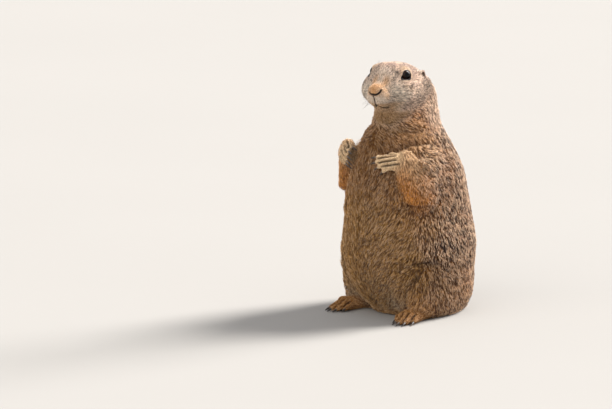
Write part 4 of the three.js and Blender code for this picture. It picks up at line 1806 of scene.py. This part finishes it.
    def _zones(self, tufts: Tufts) -> Array:
        """Gives the number of each tuft's zone."""
        body = self.pose.to_body(tufts.roots)
        head = self.pose.to_head(tufts.roots)
        around = np.degrees(bearing(body))
        rear = np.abs(around) > self.rear_angle
        skull = tufts.on(Region.HEAD, Region.EAR)
        rules = [
            (tufts.on(Region.TAIL_TIP), Zone.TAIL_TIP),
            (tufts.on(Region.TAIL), Zone.TAIL),
            (tufts.on(Region.FOREPAW), Zone.FOREPAWS),
            (tufts.on(Region.HIND_FOOT), Zone.HIND_FEET),
            (tufts.on(Region.UPPER_ARM, Region.FOREARM), Zone.ARMS),
            (tufts.on(Region.THIGH), Zone.THIGHS),
            (tufts.on(Region.NECK), Zone.NECK),
            (skull & (head[:, 1] < self.muzzle_end), Zone.MUZZLE),
            (skull & (head[:, 1] < self.face_end), Zone.FACE),
            (skull, Zone.CROWN),
            (rear & (body[:, 2] > self.back_bottom), Zone.BACK),
            (rear, Zone.RUMP),
            (around > self.flank_angle, Zone.LEFT_FLANK),
            (around < -self.flank_angle, Zone.RIGHT_FLANK),
            (body[:, 2] > self.chest_bottom, Zone.CHEST),
        ]
        order = list(Zone)
        zones = np.full(len(body), order.index(Zone.BELLY))
        for rule, zone in reversed(rules):
            zones[rule] = order.index(zone)
        return zones

    def _joined(self, zone: Zone, tufts: Tufts, points: Array, tone: Array) -> Object:
        """Joins a zone's tufts into one mesh that carries their values and the bake map.

        Args:
            zone: the zone.
            tufts: its tufts.
            points: the points of each tuft.
            tone: the tone of each.

        Returns:
            The new piece.
        """
        sides = [(0, 1, 4), (0, 4, 3), (1, 2, 5), (1, 5, 4), (2, 0, 3), (2, 3, 5)]
        faces = np.array([(0, 2, 1), *sides, (3, 4, 6), (4, 5, 6), (5, 3, 6)])
        count, size = points.shape[:2]
        triangles = faces[None] + (np.arange(count) * size)[:, None, None]
        mesh = triangle_mesh(zone.piece, points.reshape(-1, 3), triangles.reshape(-1, 3))
        per_tuft = {
            "tone": tone,
            "grizzle": tufts.grizzle,
            "deep": smooth_step(tufts.length, 1.5, 6.5),
            "ground": tufts.ground,
        }
        set_values(mesh, "along", np.tile([0, 0, 0, 0.5, 0.5, 0.5, 1.0], count))
        for name, values in per_tuft.items():
            set_values(mesh, name, np.repeat(values, size, axis=0))
        places = np.array([(0, 0), (1, 0), (0.5, 0), (0, 0.5), (1, 0.5), (0.5, 0.5), (0.5, 1)]) - 0.5
        patch = tufts.uvs[:, None] + places[None] * BAKE_PATCH
        patch = np.clip(patch.reshape(-1, 2), 0, 1)
        mesh.uv_layers.new(name=BAKE_MAP).data.foreach_set("uv", patch[triangles.ravel()].ravel())
        return new_piece(zone.piece, mesh)


@dataclass
class Eye:
    """One eye: a ball with a bulging cornea, and the rims of its lids.

    opening and corner, which is how much further the lids reach at the front corner, are in
    millimetres, and corner_spread is in radians round the eye.
    """

    pose: Pose
    side: str
    radius: float = 6 * MM
    cornea: float = 0.35 * MM
    cornea_tilts: Range = (52, 20)
    opening: float = 3.95
    corner: float = 3.3
    corner_spread: float = 0.36
    steps: int = 48
    ball_rings: int = 32

    @property
    def axes(self) -> tuple[Array, Array, Array]:
        """The eye's axis, the line to its front corner and the line up across it."""
        sign = SIDES[self.side]
        out = self.pose.head_way(sign * 0.86, -0.5, 0.1)
        corner = self.pose.head_way(-sign * 0.5, -0.75, -0.42)
        corner = unit(corner - out * (corner @ out))
        up = np.cross(out, corner) * sign
        return out, corner, up if up[2] > 0 else -up

    def edge(self, turns: Array) -> Array:
        """Gives how far the lids' edge is from the eye's axis, in millimetres."""
        wrapped = (turns + math.pi) % (2 * math.pi) - math.pi
        return self.opening + self.corner * bell(wrapped, self.corner_spread)

    def inside(self, points: Array, margin: float) -> Array:
        """Tells which points lie between the lids.

        Args:
            points: places in the frame's axes.
            margin: how far beyond the lids' edge the answer falls to 0, in millimetres.

        Returns:
            1 for the points between the lids and less for those in the margin.
        """
        out, corner, up = self.axes
        off = (points - self.pose.eyes[self.side]) / MM
        span = np.hypot(off @ corner, off @ up)
        edge = self.edge(np.arctan2(off @ up, off @ corner))
        return smooth_step(span - edge, margin, 0) * (off @ out > 0)

    def ball(self) -> Object:
        """Makes the eyeball, its pole turned outwards."""
        out = self.axes[0]
        centre = self.pose.eyes[self.side]
        ball = ready_made(
            bpy.ops.mesh.primitive_uv_sphere_add, f"eyeball_{self.side}",
            segments=self.steps, ring_count=self.ball_rings, radius=self.radius,
        )
        points = coordinates(ball.data)
        tilt = np.degrees(np.arccos(np.clip(points[:, 2] / self.radius, -1, 1)))
        bulge = self.cornea * smooth_step(tilt, *self.cornea_tilts)
        points = unit(points) * (self.radius + bulge)[:, None]
        turn = np.array(Vector(out).to_track_quat("Z", "Y").to_matrix())
        move_points(ball.data, points @ turn.T + centre)
        ball.data.shade_smooth()
        finish = EyeFinish(tuple(centre), tuple(out), f"eye_{self.side}")
        return finished(ball, finish.material(), "eye", f"eye_{self.side}")

    def lids(self, head: BVHTree) -> Object:
        """Makes the rims of the lids as rings that roll from the ball out to the face.

        Args:
            head: the head's own solid.

        Returns:
            The finished piece.
        """
        out, corner, up = self.axes
        centre = self.pose.eyes[self.side]
        turns = np.linspace(0, 2 * math.pi, self.steps, endpoint=False)
        ways = np.outer(np.cos(turns), corner) + np.outer(np.sin(turns), up)
        edge = self.edge(turns)

        def face_height(spans: Array) -> Array:
            """Finds how far out the head's surface stands at each turn."""
            heights = []
            for way, span in zip(ways, spans):
                start = centre + way * span * MM + out * 20 * MM
                hit = head.ray_cast(Vector(start), Vector(-out))[0]
                heights.append((np.array(hit) - centre) @ out / MM if hit is not None else 0)
            return np.array(heights)

        rim = face_height(edge + 1.0)
        ball = np.sqrt(np.maximum((self.radius / MM) ** 2 - edge**2, 0))
        inner = np.maximum(ball, rim - 0.9)
        # How far from the axis each ring is, how far out and how dark, once round the rim.
        rings = [
            (edge * 0.93, inner - 0.9, 1.0),
            (edge, inner + 0.05, 1.0),
            (edge + 0.2, np.maximum(inner + 0.35, rim - 0.15), 1.0),
            (edge + 0.55, rim + 0.15, 0.9),
            (edge + 1.0, rim - 0.05, 0.4),
            (edge + 1.6, face_height(edge + 1.6) - 0.8, 0.0),
            (edge + 0.8, inner - 1.5, 0.4),
        ]
        lids = ready_made(
            bpy.ops.mesh.primitive_torus_add, f"lids_{self.side}",
            major_segments=self.steps, minor_segments=len(rings),
        )
        places = [
            centre + ways * (span * MM)[:, None] + np.outer(height * MM, out)
            for span, height, _ in rings
        ]
        move_points(lids.data, np.stack(places, axis=1).reshape(-1, 3))
        set_values(lids.data, "rim", np.tile([shade for *_, shade in rings], self.steps))
        edit(lids, lambda: bpy.ops.mesh.normals_make_consistent(inside=False))
        apply_modifier(lids, "SUBSURF", levels=1, render_levels=1)
        lids.data.shade_smooth()
        return finished(lids, LidFinish().material(), "bare_skin")


@dataclass
class Claws:
    """The claws: smooth, tapered horn that grows from each toe."""

    root_reach: float = 1.35 * MM
    root_range: Range = (0.3, 1.0)
    levels: int = 2

    def build(self) -> None:
        """Makes every claw and dresses it."""
        material = HornFinish().material()
        for paw in ("forepaw", "hind_foot"):
            for side in SIDES:
                for digit in range(1, DIGITS + 1):
                    self._claw(f"{paw}_{side}_claw_{digit}", material)

    def _claw(self, node: str, material: Material) -> None:
        """Makes one claw from its solid, its root drawn back into the toe."""
        claw = bare_copy(node, f"horn_{node}")
        points = coordinates(claw.data)
        tip = points[np.argmax(distances(points, points.mean(axis=0)))]
        far = distances(points, tip)
        root = points[far > far.max() * 0.9].mean(axis=0)
        drawn = smooth_step(far / far.max(), *self.root_range) * self.root_reach
        points = points + unit(root - tip) * drawn[:, None]
        points[:, 2] = np.maximum(points[:, 2], LOWEST_HAIR)
        move_points(claw.data, points)
        set_values(claw.data, "along", 1 - far / far.max())
        apply_modifier(claw, "SUBSURF", levels=self.levels, render_levels=self.levels)
        claw.data.shade_smooth()
        finished(claw, material, "claw", node)


@dataclass
class Whiskers:
    """Fine hairs that stand out from the muzzle and above the eyes. Sizes are in millimetres.

    muzzle and brow are where the first hairs stand on the head's left. Each next hair of a row is
    a step outwards and back, and each next row of the muzzle is lower.
    """

    pose: Pose
    skin: BVHTree
    rows: int = 4
    in_row: int = 5
    on_brow: int = 3
    muzzle: Place = (6.5, -27, -17.5)
    muzzle_step: Range = (1.5, 2.4)
    row_drop: float = 2.0
    brow: Place = (10, -6, 8)
    brow_step: Range = (1.4, 2.5)
    length: float = 21
    radius: float = 0.11
    droop: float = 0.22
    steps: int = 6
    sides: int = 4

    def build(self) -> Object:
        """Makes all the whiskers as one piece."""
        rng = np.random.default_rng(SEED + 1)
        hairs = [self._hair(*hair) for hair in self._hairs(rng)]
        faces = [self._faces() + number * len(hairs[0]) for number in range(len(hairs))]
        mesh = triangle_mesh("whiskers", np.concatenate(hairs), np.concatenate(faces))
        along = np.repeat(np.linspace(0, 1, self.steps + 1), self.sides)
        set_values(mesh, "along", np.tile(along, len(hairs)))
        return finished(new_piece("whiskers", mesh), WhiskerFinish().material(), "whisker")

    def _hairs(self, rng: np.random.Generator) -> list[tuple[Array, Array, float]]:
        """Gives the root, the direction and the length of each hair."""
        found = []
        for sign in SIDES.values():
            for row in range(self.rows):
                drop = self.row_drop * row
                for place in range(self.in_row):
                    root = self._on_skin(sign, self.muzzle, self.muzzle_step, place, drop)
                    way = self.pose.head_way(sign * 0.9, 0.25 + 0.16 * place, 0.2 - 0.2 * row)
                    reach = self.length * (0.55 + 0.11 * place) * rng.uniform(0.8, 1.1)
                    found.append((root, way, reach))
            for place in range(self.on_brow):
                root = self._on_skin(sign, self.brow, self.brow_step, place, 0)
                way = self.pose.head_way(sign * 0.5, 0.5 + 0.3 * place, 0.7)
                found.append((root, way, self.length * rng.uniform(0.35, 0.45)))
        return found

    def _on_skin(self, sign: int, first: Place, step: Range, number: int, drop: float) -> Array:
        """Finds a hair's root, a number of steps outwards and back from the first, and lower."""
        x, y, z = first
        at = self.pose.head_point(sign * (x + step[0] * number), y + step[1] * number, z - drop)
        return np.array(self.skin.find_nearest(Vector(at))[0])

    def _hair(self, root: Array, way: Array, length: float) -> Array:
        """Shapes one tapered, drooping hair.

        Args:
            root: where it leaves the skin.
            way: the direction in which it leaves.
            length: how long it is.

        Returns:
            Its points, ring after ring.
        """
        across = unit(np.cross(way, [0, 0, 1.0]))
        over = np.cross(across, way)
        turns = np.linspace(0, 2 * math.pi, self.sides, endpoint=False)
        ring = np.outer(np.cos(turns), across) + np.outer(np.sin(turns), over)
        rings = []
        for share in np.linspace(0, 1, self.steps + 1):
            droop = np.array([0, 0, -self.droop]) * share**2
            middle = root + (way * share + droop) * length * MM
            rings.append(middle + self.radius * MM * (1 - 0.85 * share) * ring)
        return np.concatenate(rings)

    def _faces(self) -> Array:
        """Gives the triangles of one hair: its sides, then both ends."""
        faces = []
        for ring in range(self.steps):
            for k in range(self.sides):
                low = ring * self.sides
                high = low + self.sides
                after = (k + 1) % self.sides
                faces += [(low + k, low + after, high + after), (low + k, high + after, high + k)]
        last = self.steps * self.sides
        ends = range(1, self.sides - 1)
        faces += [(0, k + 1, k) for k in ends]
        faces += [(last, last + k, last + k + 1) for k in ends]
        return np.array(faces)


@dataclass(frozen=True)
class Lamp:
    """A far lamp, that hangs some way to the camera's right, towards the camera and up.

    spread is how wide it seems, in degrees.
    """

    way: Place
    strength: float
    spread: float
    colour: Colour


# A soft key high on the camera's right, a low edge light behind it and a broad fill on the left.
LAMPS = {
    "key": Lamp((0.85, -0.42, 1), 6.6, 20, (1.0, 0.965, 0.92)),
    "rim": Lamp((1.1, -0.7, 0.5), 4.2, 20, (1.0, 0.97, 0.94)),
    "fill": Lamp((-0.9, 1, 0.7), 2.0, 70, (1.0, 0.95, 0.88)),
}


@dataclass
class Studio:
    """A pale floor, soft light and the camera."""

    pose: Pose
    azimuth: float = math.radians(50)
    elevation: float = math.radians(11)
    distance: float = 4.5
    pixel: float = 0.94 * MM
    image: tuple[int, int] = (612, 409)
    seat_pixel: Range = (408.5, 309.0)
    middle_height: float = 120 * MM
    sensor: float = 36
    clip: Range = (0.1, 60)
    floor_size: float = 40
    floor_grain: float = 0.4
    floor_colours: tuple[Colour, Colour] = ((0.265, 0.256, 0.243), (0.277, 0.267, 0.254))
    floor_roughness: float = 0.85
    sky_colour: Colour = (0.95, 0.96, 1.0)
    sky_strength: float = 0.78

    def view_axes(self) -> tuple[Array, Array, Array]:
        """The camera's right, up and backward directions."""
        a, e = self.azimuth, self.elevation
        back = np.array([math.sin(a) * math.cos(e), -math.cos(a) * math.cos(e), math.sin(e)])
        right = np.array([math.cos(a), math.sin(a), 0])
        return right, np.cross(back, right), back

    def _placed(self, name: str, data: bpy.types.ID, place: Array, back: Array) -> Object:
        """Places a camera or a lamp, its back turned to the given direction."""
        placed = new_piece(name, data)
        placed.location = Vector(place)
        placed.rotation_euler = Vector(-back).to_track_quat("-Z", "Y").to_euler()
        return placed

    def camera(self) -> None:
        """Sets the camera so that the body's origin shows at its pixel, at the pixel's real size."""
        right, up, back = self.view_axes()
        across = (self.image[0] / 2 - self.seat_pixel[0]) * self.pixel
        above = (self.seat_pixel[1] - self.image[1] / 2) * self.pixel
        aim = right * across + up * above + back * (self.middle_height * back[2])
        data = bpy.data.cameras.new("camera")
        data.sensor_width = self.sensor
        data.lens = self.sensor * self.distance / (self.image[0] * self.pixel)
        data.clip_start, data.clip_end = self.clip
        place = aim + self.pose.body_origin + back * self.distance
        bpy.context.scene.camera = self._placed("camera", data, place, back)

    def floor(self) -> None:
        """Lays the floor."""
        floor = ready_made(bpy.ops.mesh.primitive_plane_add, "floor", size=self.floor_size)
        s = Shader("floor")
        colour = s.mix(s.noise(self.floor_grain), *self.floor_colours)
        s.set(base_color=colour, roughness=self.floor_roughness)
        floor.data.materials.append(s.material)

    def light(self) -> None:
        """Hangs the lamps and a pale sky."""
        right, _, back = self.view_axes()
        towards = np.array([back[0], back[1], 0]) / math.cos(self.elevation)
        above = np.array([0, 0, 1.0])
        for name, lamp in LAMPS.items():
            data = bpy.data.lights.new(name, "SUN")
            data.energy = lamp.strength
            data.angle = math.radians(lamp.spread)
            data.color = lamp.colour
            way = right * lamp.way[0] + towards * lamp.way[1] + above * lamp.way[2]
            self._placed(name, data, self.pose.body_origin + way * 2, way)
        world = bpy.data.worlds.new("sky")
        world.use_nodes = True
        background = world.node_tree.nodes["Background"]
        background.inputs["Color"].default_value = (*self.sky_colour, 1)
        background.inputs["Strength"].default_value = self.sky_strength
        bpy.context.scene.world = world
        bpy.context.scene.view_settings.view_transform = "Standard"


def main() -> None:
    """Builds the animal and the studio in order."""
    logging.basicConfig(level=logging.INFO, format="%(name)s %(message)s", stream=sys.stdout)
    pose = Pose()
    studio = Studio(pose)
    studio.camera()
    studio.floor()
    studio.light()
    skin = Skin(pose)
    hide = skin.build()
    skin.dress()
    coat = Coat(pose, skin)
    coat.dress(coat.build())
    head = bare_copy("head", "head_solid")
    depsgraph = bpy.context.evaluated_depsgraph_get()
    head_tree = BVHTree.FromObject(head, depsgraph)
    skin_tree = BVHTree.FromObject(hide, depsgraph)
    bpy.data.objects.remove(head)
    for side in SIDES:
        eye = Eye(pose, side)
        eye.ball()
        eye.lids(head_tree)
    Claws().build()
    Whiskers(pose, skin_tree).build()


if __name__ == "__main__":
    main()
